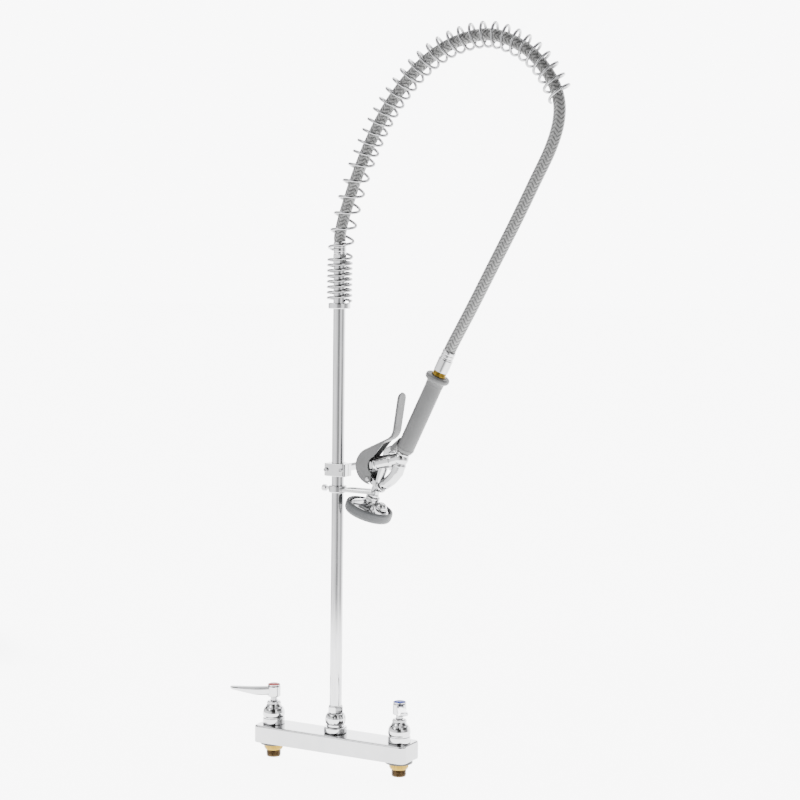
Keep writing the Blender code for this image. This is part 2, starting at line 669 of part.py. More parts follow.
def overhead_spring():
    points, length = smooth_route(SPRING_ROUTE, MM)
    spacing = length / (len(points) - 1)
    tight_end = TIGHT_TURNS * TIGHT_PITCH
    wide_end = tight_end + WIDE_TURNS * WIDE_PITCH
    arc_pitch = (length - wide_end) / ARC_TURNS
    radius = (SPRING_OD - SPRING_WIRE) / 2
    places = []
    total = TIGHT_TURNS + WIDE_TURNS + ARC_TURNS
    for i in range(total * TURN_POINTS + 1):
        turns = i / TURN_POINTS
        along = (min(turns, TIGHT_TURNS) * TIGHT_PITCH
                 + max(0.0, min(turns - TIGHT_TURNS, WIDE_TURNS)) * WIDE_PITCH
                 + max(0.0, turns - TIGHT_TURNS - WIDE_TURNS) * arc_pitch)
        index = min(int(along / spacing), len(points) - 2)
        share = along / spacing - index
        centre = points[index].lerp(points[index + 1], share)
        tangent = (points[index + 1] - points[index]).normalized()
        across = Vector((tangent.z, 0.0, -tangent.x))
        angle = math.tau * turns
        places.append(centre + radius * (math.cos(angle) * across + math.sin(angle) * Vector((0, 1, 0))))
    return wire("overhead_spring", places, SPRING_WIRE / 2, "chrome", 1)


def hose_top():
    """Nut on the riser's top and the ferrule crimped on the hose, inside the spring."""
    foot = RISER_TOP - HOSE_NUT_GRIP
    top = foot + HOSE_NUT_HEIGHT
    nut = add_part("hose_nut", outline_mesh("hose_nut", hexagon(HOSE_NUT_AF), HOSE_NUT_HEIGHT,
                                            FINE_EDGE), "chrome")
    nut.location = (0, 0, foot + HOSE_NUT_HEIGHT / 2)
    cut(nut, turned_cutter("hose_nut_bore", pin_profile(RISER_OD / 2 - RISER_WALL, foot - MM,
                                                        top + MM)))
    cut(nut, turned_cutter("hose_nut_socket", pin_profile(RISER_OD / 2 + FIT, foot - MM,
                                                          RISER_TOP + GAP)))
    ferrule_foot = top + GAP
    ferrule_top = ferrule_foot + UPPER_FERRULE
    outer = UPPER_FERRULE_OD / 2
    inner = RISER_OD / 2 - RISER_WALL
    ferrule = turned("upper_hose_ferrule",
                     [(outer - HAIR_EDGE, ferrule_top), (outer, ferrule_top - HAIR_EDGE),
                      (outer, ferrule_foot), (inner, ferrule_foot), (inner, ferrule_top)],
                     "chrome", hollow=True)
    return [nut, ferrule], ferrule_top


def braided_hose(ferrule_top):
    foot = ferrule_top + GAP
    start = [(0.0, foot / MM), (0.0, (foot + HOSE_STRAIGHT) / MM)]
    lower = [grip_point(lower_ferrule_top() + GAP + rise) for rise in (HOSE_STRAIGHT, 0.0)]
    end = [(x / MM, z / MM) for x, z in lower]
    points = smooth_route(start + HOSE_ROUTE + end, HOSE_STEP)[0]
    points.insert(1, points[0] + Vector((0, 0, HOSE_SQUARE)))
    turn = math.radians(GRIP_LEAN)
    points.insert(-1, points[-1] + Vector((math.sin(turn), 0, math.cos(turn))) * HOSE_SQUARE)
    return wire("hose", points, HOSE_OD / 2, "braid", 2)


# ================================================================ spray handle
def grip_point(distance):
    return step_along(GRIP_FOOT, GRIP_LEAN, distance)


def grip_place(distance=0.0):
    return lean_matrix(*grip_point(distance), GRIP_LEAN)


def grip_top():
    return GRIP_LENGTH + GRIP_FLANGE


def coupling_top():
    return grip_top() + GAP + COUPLING


def lower_ferrule_top():
    return coupling_top() + GAP + LOWER_FERRULE


def spray_handle():
    place = grip_place()
    core = HANDLE_TUBE_OD / 2
    bore = core + FIT
    wide = GRIP_OD / 2
    flange = GRIP_FLANGE_OD / 2
    edge = WIDE_EDGE
    top = grip_top()
    sleeve = [(flange - edge, top), (flange, top - edge), (flange, GRIP_LENGTH + edge),
              (flange - edge, GRIP_LENGTH), (wide, GRIP_LENGTH - 2 * edge), (wide, 2 * edge),
              (wide - 2 * edge, 0.0), (bore, 0.0), (bore, top)]
    grip = turned("grip_sleeve", sleeve, "grip", place, LARGE_ROUND, hollow=True)
    hole = core - HANDLE_TUBE_WALL
    tube = turned("handle_tube", tube_profile(core, hole, 0.0, top), "brass", place,
                  SMALL_ROUND, hollow=True)
    foot = top + GAP
    rim = COUPLING_OD / 2
    coupling = turned("hose_coupling",
                      [(rim - HAIR_EDGE, coupling_top()), (rim, coupling_top() - HAIR_EDGE),
                       (rim, foot + HAIR_EDGE), (rim - HAIR_EDGE, foot), (hole, foot),
                       (hole, coupling_top() - HOSE_WASHER - GAP),
                       (core, coupling_top() - HOSE_WASHER - GAP), (core, coupling_top())],
                      "brass", place, hollow=True)
    washer = turned("hose_washer", tube_profile(core - FIT, hole, coupling_top() - HOSE_WASHER,
                                                coupling_top()), "rubber", place, hollow=True)
    outer = LOWER_FERRULE_OD / 2
    foot = coupling_top() + GAP
    crimp = lower_ferrule_top()
    ferrule = turned("lower_hose_ferrule",
                     [(outer - MM, crimp), (outer, crimp - MM), (outer, crimp - 12 * MM),
                      (outer + FINE_EDGE, crimp - 12.7 * MM), (outer + FINE_EDGE, foot + HAIR_EDGE),
                      (outer, foot), (hole, foot), (hole, crimp)], "chrome", place, hollow=True)
    return [grip, tube, coupling, washer, ferrule]


# ================================================================ squeeze valve
def ball_centre():
    return grip_point(-BALL_DROP)


def barrel_place(distance=0.0):
    """Distance is measured leftwards from the ball along the barrel."""
    return lean_matrix(*barrel_point(distance), BARREL_LEAN)


def barrel_point(distance):
    return step_along(ball_centre(), BARREL_LEAN, -distance)


def head_point(distance):
    return step_along(HEAD_CENTRE, HEAD_LEAN, distance)


def head_place(distance=0.0):
    return lean_matrix(*head_point(distance), HEAD_LEAN)


def neck_reach():
    """Distance up the head's axis to where it meets the barrel's axis."""
    barrel = math.radians(BARREL_LEAN)
    head = math.radians(HEAD_LEAN)
    ball = ball_centre()
    dx = ball[0] - HEAD_CENTRE[0]
    dz = ball[1] - HEAD_CENTRE[1]
    return (dx * math.cos(barrel) - dz * math.sin(barrel)) / math.sin(head - barrel)


def valve_body():
    barrel = barrel_place()
    made = turned("valve_body", [(0.0, BARREL_END), (BARREL_OD / 2, BARREL_END),
                                 (BARREL_OD / 2, -BARREL_LENGTH + MM),
                                 (BARREL_OD / 2 - MM, -BARREL_LENGTH), (0.0, -BARREL_LENGTH)],
                  "chrome", barrel, LARGE_ROUND)
    ball_profile = [(x, z) for x, z in arc((0.0, 0.0), BALL_RADIUS, 90, -90, 9)]
    ball = turned_cutter("ball", ball_profile, lean_matrix(*ball_centre(), GRIP_LEAN), ROUND)
    shoulder = -GAP
    core = HANDLE_TUBE_OD / 2 - HANDLE_TUBE_WALL - FIT
    spigot = turned_cutter("spigot", [(0.0, SPIGOT_UP), (core, SPIGOT_UP), (core, shoulder),
                                      (GRIP_OD / 2 - 3 * MM, shoulder),
                                      (GRIP_OD / 2 - 3 * MM, BALL_FLAT - BALL_DROP),
                                      (0.0, BALL_FLAT - BALL_DROP)],
                           grip_place(), ROUND)
    reach = neck_reach()
    neck_foot = HEAD_COLLAR_TOP + GAP
    neck = turned_cutter("neck", [(0.0, reach + NECK_PAST), (VALVE_NECK_OD / 2, reach + NECK_PAST),
                                  (VALVE_NECK_OD / 2, neck_foot), (NECK_SPIGOT_OD / 2, neck_foot),
                                  (NECK_SPIGOT_OD / 2, neck_foot - NECK_SPIGOT),
                                  (0.0, neck_foot - NECK_SPIGOT)], head_place(), ROUND)
    lug = add_cutter("pivot_lug", outline_mesh("pivot_lug", lug_outline(), HOOK_SLOT - 4 * MM))
    lug.matrix_world = Matrix.Rotation(math.radians(90), 4, "X")
    join(made, ball, spigot, neck, elbow(), lug)
    seat = -BARREL_LENGTH + SEAT_DEPTH
    cut(made,
        turned_cutter("stem_chamber", pin_profile(CHAMBER / 2, -BARREL_LENGTH - MM, seat), barrel),
        turned_cutter("seat_bore", pin_profile(SEAT_BORE / 2, seat - MM, seat + SEAT_WALL + MM), barrel),
        turned_cutter("inner_chamber", pin_profile(INNER_CHAMBER / 2, seat + SEAT_WALL, 3 * MM), barrel),
        turned_cutter("inlet_bore", pin_profile(core - 1.4 * MM, SMALL_EDGE - BALL_DROP, SPIGOT_UP + MM),
                      grip_place()),
        turned_cutter("neck_bore", pin_profile(NECK_BORE / 2, neck_foot - NECK_SPIGOT - MM,
                                               reach - HAIR_EDGE),
                      head_place()),
        turned_cutter("pin_hole", pin_profile(PIVOT_PIN / 2 + RUNNING, -SQUEEZE_WIDTH, SQUEEZE_WIDTH),
                      across(PIVOT), SMALL_ROUND))
    return made


def elbow():
    """Curved solid tube along the elbow's route, for joining to the body."""
    build = bmesh.new()
    rings = []
    route = [Vector((x * MM, 0.0, z * MM)) for x, z, radius in ELBOW_ROUTE]
    for i, centre in enumerate(route):
        along = (route[min(i + 1, len(route) - 1)] - route[max(i - 1, 0)]).normalized()
        side = Vector((along.z, 0.0, -along.x))
        radius = ELBOW_ROUTE[i][2] * MM
        turns = [math.tau * (k + 0.3) / ROUND for k in range(ROUND)]
        rings.append([build.verts.new(centre + (side * math.cos(a) + Vector((0, math.sin(a), 0))) * radius)
                      for a in turns])
    for low, high in zip(rings, rings[1:]):
        for i in range(ROUND):
            j = (i + 1) % ROUND
            build.faces.new((low[i], low[j], high[j], high[i]))
    build.faces.new(rings[0][::-1])
    build.faces.new(rings[-1])
    bmesh.ops.recalc_face_normals(build, faces=build.faces)
    mesh = bpy.data.meshes.new("elbow")
    build.to_mesh(mesh)
    build.free()
    return add_cutter("elbow", mesh)


def lug_outline():
    """Tab from the neck round the pivot pin, in X and Z."""
    inside = head_point(neck_reach() * 0.55)
    high = (inside[0], inside[1] + LUG_RADIUS)
    low = (inside[0], inside[1] - LUG_RADIUS * 1.5)
    return [high] + arc(PIVOT, LUG_RADIUS, 100, 255, 8) + [low]


def across(point):
    """Local +Z runs along world -Y through this point of the XZ plane."""
    return Matrix.Translation((point[0], 0, point[1])) @ Matrix.Rotation(math.radians(90), 4, "X")


def valve_trim():
    """Hexagon bonnet, packing nut, stem, washer and return spring on the barrel's axis."""
    start = BARREL_LENGTH + GAP
    end = start + VALVE_BONNET
    bonnet = add_part("valve_bonnet", outline_mesh("valve_bonnet", hexagon(BONNET_AF), VALVE_BONNET,
                                                   FINE_EDGE), "chrome")
    bonnet.matrix_world = barrel_place(start + VALVE_BONNET / 2)
    stem_bore = VALVE_STEM / 2 + RUNNING
    cut(bonnet, turned_cutter("bonnet_bore", pin_profile(stem_bore, -end - MM, -start + MM),
                              barrel_place(), SMALL_ROUND))
    nut_start = end + GAP
    nut_end = nut_start + PACKING_NUT
    nut_edge = PACKING_NUT_OD / 2 - HAIR_EDGE
    nut = turned("packing_nut",
                 [(PACKING_NUT_OD / 2, -nut_start), (PACKING_NUT_OD / 2, -nut_end + HAIR_EDGE),
                  (nut_edge, -nut_end), (stem_bore, -nut_end), (stem_bore, -nut_start)],
                 "chrome", barrel_place(), hollow=True)
    seat = -BARREL_LENGTH + SEAT_DEPTH
    ring_inner = VALVE_STEM / 2 + GAP / 2
    packing = turned("stem_packing", tube_profile(CHAMBER / 2 - FIT, ring_inner + FIT / 2,
                                                  -BARREL_LENGTH + 0.5 * MM, -BARREL_LENGTH + 3.5 * MM),
                     "rubber", barrel_place(), hollow=True)
    washer_foot = seat + SEAT_WALL + GAP
    stem_tip = -stem_reach()
    stem = turned("valve_stem",
                  [(0.0, washer_foot - GAP), (VALVE_STEM / 2, washer_foot - GAP),
                   (VALVE_STEM / 2, stem_tip + ROUND_EDGE), (VALVE_STEM / 2 - ROUND_EDGE, stem_tip),
                   (0.0, stem_tip)], "brushed", barrel_place(), SMALL_ROUND)
    washer = turned("stem_washer", pin_profile(STEM_WASHER_OD / 2, washer_foot,
                                               washer_foot + STEM_WASHER), "rubber",
                    barrel_place(), SMALL_ROUND)
    coil = coil_points(RETURN_SPRING_OD / 2 - RETURN_SPRING_WIRE / 2, RETURN_SPRING_TURNS,
                       -BARREL_LENGTH + 4.6 * MM, seat - RETURN_SPRING_WIRE)
    spring = wire("valve_return_spring", coil, RETURN_SPRING_WIRE / 2, "brushed", 0)
    spring.matrix_world = barrel_place()
    return [bonnet, nut, packing, spring], [stem, washer]


def coil_points(radius, turns, start, end):
    count = turns * 8
    return [(radius * math.cos(math.tau * i / 8), radius * math.sin(math.tau * i / 8),
             start + (end - start) * i / count) for i in range(count + 1)]


def stem_reach():
    """Distance from the ball to the inside of the lever's curl, along the barrel's axis."""
    turn = math.radians(BARREL_LEAN)
    direction = Vector((-math.sin(turn), -math.cos(turn)))
    offset = Vector(ball_centre()) - Vector(CURL_CENTRE)
    inside = CURL_RADIUS - SQUEEZE_PLATE - GAP
    along = offset.dot(direction)
    return -along + math.sqrt(along ** 2 - offset.length_squared + inside ** 2)


def lever_stop():
    """Grey stop block beside the foot of the grip, between the lever's cheeks."""
    foot = grip_point(0.0)
    turn = math.radians(GRIP_LEAN)
    axis = Vector((math.sin(turn), math.cos(turn)))
    left = Vector((-math.cos(turn), math.sin(turn)))
    origin = Vector(foot)
    inner = GRIP_OD / 2 + GAP
    corners = [(inner, STOP_TOP), (inner, -STOP_FOOT), (inner + 4 * MM, -STOP_FOOT - WIDE_EDGE),
               (inner + STOP_OUT, -STOP_FOOT + MM), (inner + STOP_OUT - 0.5 * MM, MM),
               (inner + WIDE_EDGE, STOP_TOP - 4 * MM)]
    outline = [tuple(origin + axis * up + left * out) for out, up in corners]
    made = add_part("lever_stop", outline_mesh("lever_stop", outline, STOP_WIDTH, ROUND_EDGE), "grip_dark")
    made.matrix_world = Matrix.Rotation(math.radians(90), 4, "X")
    return made


# ================================================================ spray head
def spray_head():
    top = HEAD_COLLAR_TOP
    neck = NECK_SPIGOT_OD / 2 + FIT
    collar = HEAD_COLLAR_OD / 2
    wide = HEAD_OD / 2
    floor = top - NECK_SPIGOT - WIDE_EDGE
    outer = [(collar - MM, top), (collar, top - MM), (collar, top - 6 * MM), (collar + 4 * MM, 9.5 * MM),
             (wide - 4.5 * MM, 5.5 * MM), (wide, 2.5 * MM), (wide, -5 * MM)]
    inner = [(wide - HEAD_WALL, -5 * MM), (wide - HEAD_WALL, WIDE_EDGE), (wide - 6 * MM, 3.2 * MM),
             (collar + 2.5 * MM, 7 * MM), (NECK_BORE / 2, floor - 2 * MM), (NECK_BORE / 2, floor),
             (neck, floor), (neck, top)]
    shell = turned("spray_head_shell", outer + inner, "chrome", head_place(), LARGE_ROUND, hollow=True)
    cap = wide - HEAD_WALL - FIT
    face = turned("spray_face", [(0.0, -WIDE_EDGE), (cap, -WIDE_EDGE), (cap, -WIDE_EDGE - FACE_THICK),
                                 (cap - 6 * MM, -2.5 * MM - FACE_THICK), (0.0, -2.5 * MM - FACE_THICK)],
                  "grip_dark", head_place(), LARGE_ROUND)
    for i in range(FACE_HOLES):
        angle = math.tau * (i + 0.15) / FACE_HOLES
        spot = head_place() @ Matrix.Translation((cap * 0.6 * math.cos(angle),
                                                  cap * 0.6 * math.sin(angle), 0))
        cut(face, turned_cutter(f"face_hole_{i}", pin_profile(FACE_HOLE / 2, -FACE_THICK - 4 * MM, 0.0),
                                spot, 6))
    bumper_in = wide + FIT
    bumper_out = BUMPER_OD / 2
    low = -BUMPER_HEIGHT / 2 - MM
    high = BUMPER_HEIGHT / 2 - MM
    ring = [(bumper_in, high - 2 * MM), (bumper_in + 1.4 * MM, high), (bumper_out - 1.6 * MM, high - MM),
            (bumper_out, high - 3.5 * MM), (bumper_out, low + 4 * MM), (bumper_out - 2 * MM, low + MM),
            (bumper_in + MM, low), (bumper_in, low + 2 * MM)]
    bumper = turned("bumper_ring", ring, "bumper", head_place(), LARGE_ROUND, hollow=True)
    return [shell, face, bumper]


# ================================================================ squeeze lever
def arm_path():
    """Middle line of the lever's wall: round the curl, up the arm, then up the paddle (X, Z)."""
    radius = CURL_RADIUS - SQUEEZE_PLATE / 2
    leave = 90 + ARM_RISE
    start = CURL_START + 360
    path = arc(CURL_CENTRE, radius, start, leave, 11)
    arm = Vector((math.cos(math.radians(ARM_RISE)), math.sin(math.radians(ARM_RISE))))
    paddle = Vector((math.cos(math.radians(PADDLE_RISE)), math.sin(math.radians(PADDLE_RISE))))
    corner = Vector(path[-1]) + arm * ARM_LENGTH
    turn = math.radians(PADDLE_RISE - ARM_RISE)
    trim = PADDLE_BEND * math.tan(turn / 2)
    centre = corner - arm * trim + Vector((-arm.y, arm.x)) * PADDLE_BEND
    path += arc(centre, PADDLE_BEND, ARM_RISE - 90, PADDLE_RISE - 90, 5)
    path.append(tuple(corner + paddle * PADDLE_LENGTH))
    return path


def offset_strip(path, thickness):
    """Closed outline of an even wall round a path."""
    left, right = [], []
    for i, place in enumerate(path):
        before = Vector(path[max(i - 1, 0)])
        after = Vector(path[min(i + 1, len(path) - 1)])
        along = (after - before).normalized()
        side = Vector((-along.y, along.x)) * thickness / 2
        left.append(tuple(Vector(place) + side))
        right.append(tuple(Vector(place) - side))
    return left + right[::-1]


def squeeze_lever():
    path = arm_path()
    made = add_part("squeeze_lever", outline_mesh("squeeze_lever", offset_strip(path, SQUEEZE_PLATE),
                                                  SQUEEZE_WIDTH, SMALL_EDGE), "grip")
    made.matrix_world = Matrix.Rotation(math.radians(90), 4, "X")
    outer = arc(CURL_CENTRE, CURL_RADIUS - 0.4 * MM, 262, 90 + ARM_RISE, 9)
    arm = Vector((math.cos(math.radians(ARM_RISE)), math.sin(math.radians(ARM_RISE))))
    far = Vector(outer[-1]) + arm * ARM_LENGTH * 0.8
    inner = arc(CHEEK_HOLE, CHEEK_HOLE_RADIUS, 112, 232, 7)
    boss = arc(PIVOT, PIVOT_BOSS, -40, -85, 3)
    outline = outer + [tuple(far)] + inner + boss
    side = SQUEEZE_WIDTH / 2 - CHEEK_PLATE / 2
    for sign in (-1, 1):
        cheek = add_cutter(f"cheek_{sign}", outline_mesh(f"cheek_{sign}", outline, CHEEK_PLATE))
        cheek.matrix_world = (Matrix.Translation((0, sign * side, 0))
                              @ Matrix.Rotation(math.radians(90), 4, "X"))
        join(made, cheek)
    cut(made, turned_cutter("lever_pin_hole", pin_profile(PIVOT_PIN / 2 + FIT, -SQUEEZE_WIDTH,
                                                          SQUEEZE_WIDTH), across(PIVOT), SMALL_ROUND))
    half = SQUEEZE_WIDTH / 2 + GAP
    head = 1.3 * MM
    rim = PIVOT_PIN / 2 + MM
    pin = turned("lever_pivot_pin",
                 [(0.0, half + head), (rim, half + head), (rim, half), (PIVOT_PIN / 2, half),
                  (PIVOT_PIN / 2, -half), (rim, -half), (rim, -half - head), (0.0, -half - head)],
                 "brushed", across(PIVOT), SMALL_ROUND)
    return made, pin


# ================================================================ finger hook
def finger_hook():
    ring_foot = HOOK_HEIGHT + HOOK_THICK / 2 - HOOK_RING / 2
    bore = RISER_OD / 2 + FIT
    wide = HOOK_RING_OD / 2
    edge = SOFT_EDGE
    top = ring_foot + HOOK_RING
    hook = turned("finger_hook", [(wide - edge, top), (wide, top - edge), (wide, ring_foot + edge),
                                  (wide - edge, ring_foot), (bore, ring_foot), (bore, top)],
                  "chrome", None, LARGE_ROUND, hollow=True)
    half = HOOK_SLOT / 2 + HOOK_PRONG
    root = bore + 1.4 * MM
    nose = HOOK_PRONG / 2
    far = HOOK_REACH - nose
    slot_root = wide + 5 * MM
    slot = HOOK_SLOT / 2
    outline = ([(root, -slot)] + [(wide + 3 * MM, -half)]
               + arc((far, -slot - nose), nose, -90, 90, 4)
               + arc((slot_root + slot * 0.6, 0.0), slot, -90, -270, 7)
               + arc((far, slot + nose), nose, -90, 90, 4)
               + [(wide + 3 * MM, half), (root, slot)])
    fork = add_cutter("fork", outline_mesh("fork", outline, HOOK_THICK, SOFT_EDGE))
    fork.location = (0, 0, HOOK_HEIGHT + HOOK_THICK / 2)
    join(hook, fork)
    cut(hook, turned_cutter("hook_bore", pin_profile(bore, ring_foot - MM, top + MM), None, LARGE_ROUND))
    facing = (Matrix.Translation((0, 0, HOOK_HEIGHT + HOOK_THICK / 2))
              @ Matrix.Rotation(math.radians(-90), 4, "Y"))
    cut(hook, turned_cutter("hook_screw_hole", pin_profile(HOOK_SCREW / 2 + FIT, 0.0, wide + MM),
                            facing, SMALL_ROUND))
    knob = HOOK_SCREW_OUT - HOOK_KNOB
    screw_part = turned("hook_screw",
                        [(0.0, HOOK_SCREW_OUT), (HOOK_KNOB_OD / 2 - FINE_EDGE, HOOK_SCREW_OUT),
                         (HOOK_KNOB_OD / 2, HOOK_SCREW_OUT - FINE_EDGE), (HOOK_KNOB_OD / 2, knob),
                         (HOOK_SCREW / 2, knob), (HOOK_SCREW / 2, RISER_OD / 2 + GAP),
                         (0.0, RISER_OD / 2 + GAP)], "chrome", facing, SMALL_ROUND)
    return [hook, screw_part]


# ================================================================ wall bracket
def clamp_half(name, front):
    """One half of the riser clamp; the rear half carries the rod's boss."""
    near = CLAMP_SPLIT / 2
    corner = 4 * MM
    half = CLAMP_WIDTH / 2
    outline = ([(-half, near), (half, near), (half, CLAMP_DEPTH - corner)]
               + arc((half - corner, CLAMP_DEPTH - corner), corner, 0, 90, 4)[1:]
               + arc((-half + corner, CLAMP_DEPTH - corner), corner, 90, 180, 4))
    if front:
        outline = [(x, -y) for x, y in reversed(outline)]
    made = add_part(name, outline_mesh(name, outline, CLAMP_HEIGHT, SMALL_EDGE), "chrome")
    made.location = (0, 0, BRACKET_HEIGHT)
    if not front:
        boss_wide = ROD_BOSS_OD / 2
        boss_end = CLAMP_DEPTH + ROD_BOSS
        boss_root = CLAMP_DEPTH - MM
        boss = turned_cutter("rod_boss", [(0.0, boss_end), (boss_wide, boss_end),
                                          (boss_wide, boss_root), (0.0, boss_root)], rearward())
        join(made, boss)
        end = CLAMP_DEPTH + ROD_BOSS
        cut(made, turned_cutter("rod_socket", pin_profile(ROD_OD / 2 + FIT, end - ROD_GRIP, end + MM),
                                rearward()))
    riser = turned_cutter(name + "_bore", pin_profile(RISER_OD / 2 + FIT, BRACKET_HEIGHT - CLAMP_HEIGHT,
                                                      BRACKET_HEIGHT + CLAMP_HEIGHT), None, LARGE_ROUND)
    cut(made, riser)
    for side in (-1, 1):
        hole = turned_cutter(f"{name}_screw_hole_{side}",
                             pin_profile(CLAMP_SCREW / 2 + FIT, -2 * CLAMP_DEPTH, 2 * CLAMP_DEPTH),
                             rearward(side * CLAMP_SCREWS / 2), SMALL_ROUND)
        cut(made, hole)
    return made


def rearward(x=0.0):
    """Local +Z points to the wall, at the height of the bracket's rod."""
    return Matrix.Translation((x, 0, BRACKET_HEIGHT)) @ Matrix.Rotation(math.radians(-90), 4, "X")


def wall_bracket():
    parts = [clamp_half("bracket_clamp_front", True), clamp_half("bracket_clamp_rear", False)]
    face = -CLAMP_DEPTH - GAP
    tip = CLAMP_DEPTH - MM
    for label, side in (("left", -1), ("right", 1)):
        parts.append(turned(f"clamp_screw_{label}",
                            [(0.0, tip), (CLAMP_SCREW / 2, tip), (CLAMP_SCREW / 2, face),
                             (CLAMP_SCREW_HEAD / 2, face),
                             (CLAMP_SCREW_HEAD / 2, face - CLAMP_SCREW_HEAD_THICK + SMALL_EDGE),
                             (CLAMP_SCREW_HEAD / 2 - MM, face - CLAMP_SCREW_HEAD_THICK),
                             (0.0, face - CLAMP_SCREW_HEAD_THICK)],
                            "brushed", rearward(side * CLAMP_SCREWS / 2), SMALL_ROUND))
    start = CLAMP_DEPTH + ROD_BOSS - ROD_GRIP + GAP
    end = WALL_DISTANCE - WALL_FLANGE - WALL_HUB + ROD_GRIP
    parts.append(turned("bracket_rod", pin_profile(ROD_OD / 2, start, end), "chrome", rearward(),
                        SMALL_ROUND))
    hub = WALL_DISTANCE - WALL_FLANGE - WALL_HUB
    plate = WALL_DISTANCE - WALL_FLANGE
    wide = WALL_FLANGE_OD / 2
    socket = ROD_OD / 2 + FIT
    flange = turned("wall_flange",
                    [(0.0, WALL_DISTANCE), (wide, WALL_DISTANCE), (wide, plate + 1.6 * MM),
                     (wide - 1.6 * MM, plate), (WALL_HUB_OD / 2, plate), (WALL_HUB_OD / 2 - MM, hub),
                     (socket, hub), (socket, end + GAP), (0.0, end + GAP)],
                    "chrome", rearward(), LARGE_ROUND)
    for i in range(3):
        angle = math.radians(90 + 120 * i)
        spot = (Matrix.Translation((WALL_SCREW_RADIUS * math.cos(angle), 0,
                                    WALL_SCREW_RADIUS * math.sin(angle))) @ rearward())
        cut(flange, turned_cutter(f"wall_screw_hole_{i}", pin_profile(WALL_SCREW_HOLE / 2, hub,
                                                                     WALL_DISTANCE + MM), spot, 8))
    parts.append(flange)
    return parts


# ================================================================ the whole faucet
clear_scene()
PARTS = collection(NAME)
CUTTERS = collection("cutters")
FINISHES = {
    "chrome": material("chrome", (0.80, 0.81, 0.83), 0.08, 1.0),
    "brushed": material("brushed", (0.62, 0.62, 0.63), 0.30, 1.0),
    "brass": material("brass", (0.72, 0.53, 0.24), 0.25, 1.0),
    "braid": material("braid", (0.55, 0.55, 0.56), 0.38, 1.0),
    "rubber": material("rubber", (0.03, 0.03, 0.03), 0.70, 0.0),
    "grip": material("grip", (0.30, 0.30, 0.30), 0.50, 0.0),
    "grip_dark": material("grip_dark", (0.20, 0.20, 0.20), 0.50, 0.0),
    "bumper": material("bumper", (0.17, 0.18, 0.19), 0.55, 0.0),
    "hot": material("hot", (0.75, 0.04, 0.03), 0.35, 0.0),
    "cold": material("cold", (0.03, 0.12, 0.65), 0.35, 0.0),
}


def main():
    base_body()
    for side_name, side in (("hot", -1), ("cold", 1)):
        inlet(side_name, side)
        valve(side_name, side)
    turning = riser_group(outlet())
    turning += spring_collar()
    turning.append(overhead_spring())
    fittings, ferrule_top = hose_top()
    turning += fittings + finger_hook()

    riser_axis = empty("riser_axis", (0, 0, BODY_HEIGHT))
    bracket_axis = empty("bracket_slide", (0, 0, BRACKET_HEIGHT))
    hang_on(bracket_axis, *wall_bracket())
    end = SPRING_ROUTE[-1]
    swing = empty("hose_swing_axis", (end[0] * MM, 0, end[1] * MM))
    fixed, sliding = valve_trim()
    lever, pin = squeeze_lever()
    hang_on(swing, braided_hose(ferrule_top), valve_body(), lever_stop(), pin, *spray_handle(),
            *spray_head(), *fixed)
    squeeze_axis = empty("squeeze_axis", (PIVOT[0], 0, PIVOT[1]))
    stem_axis = empty("valve_stem_axis", (barrel_point(stem_reach())[0], 0,
                                          barrel_point(stem_reach())[1]))
    hang_on(squeeze_axis, lever)
    hang_on(stem_axis, *sliding)
    hang_on(swing, squeeze_axis, stem_axis)
    hang_on(riser_axis, swing, *turning)


main()
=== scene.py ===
"""Pre-rinse faucet, the visual model: every piece finer than its CAD node, with procedural materials.

Lengths inside the builders are in millimetres; the row frame is in metres.
"""

import math

import bmesh
import bpy
from mathutils import Matrix, Vector


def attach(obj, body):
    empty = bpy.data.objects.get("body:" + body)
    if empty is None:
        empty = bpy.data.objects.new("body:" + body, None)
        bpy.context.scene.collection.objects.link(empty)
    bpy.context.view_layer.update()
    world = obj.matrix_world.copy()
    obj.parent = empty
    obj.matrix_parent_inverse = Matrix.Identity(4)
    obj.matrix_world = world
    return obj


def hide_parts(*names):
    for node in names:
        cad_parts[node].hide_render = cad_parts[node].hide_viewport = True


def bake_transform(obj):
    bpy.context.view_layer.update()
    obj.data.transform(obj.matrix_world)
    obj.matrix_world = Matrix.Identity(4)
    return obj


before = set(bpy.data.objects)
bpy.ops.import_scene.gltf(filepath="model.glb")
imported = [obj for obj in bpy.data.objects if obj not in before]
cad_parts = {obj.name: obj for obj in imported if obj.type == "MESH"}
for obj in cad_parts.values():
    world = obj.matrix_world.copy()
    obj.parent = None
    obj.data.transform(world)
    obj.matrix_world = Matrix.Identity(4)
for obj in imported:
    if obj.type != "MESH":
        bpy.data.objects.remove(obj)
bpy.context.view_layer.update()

MM = 0.001
TURNS = 72                     # sides of a turned piece
UPPER = -6.3                   # from the levels used for the riser, hose and spray to the frame's, mm
MIDDLE = -4.0                  # and from those used for the valves and the outlet
level = {"drop": 0.0}


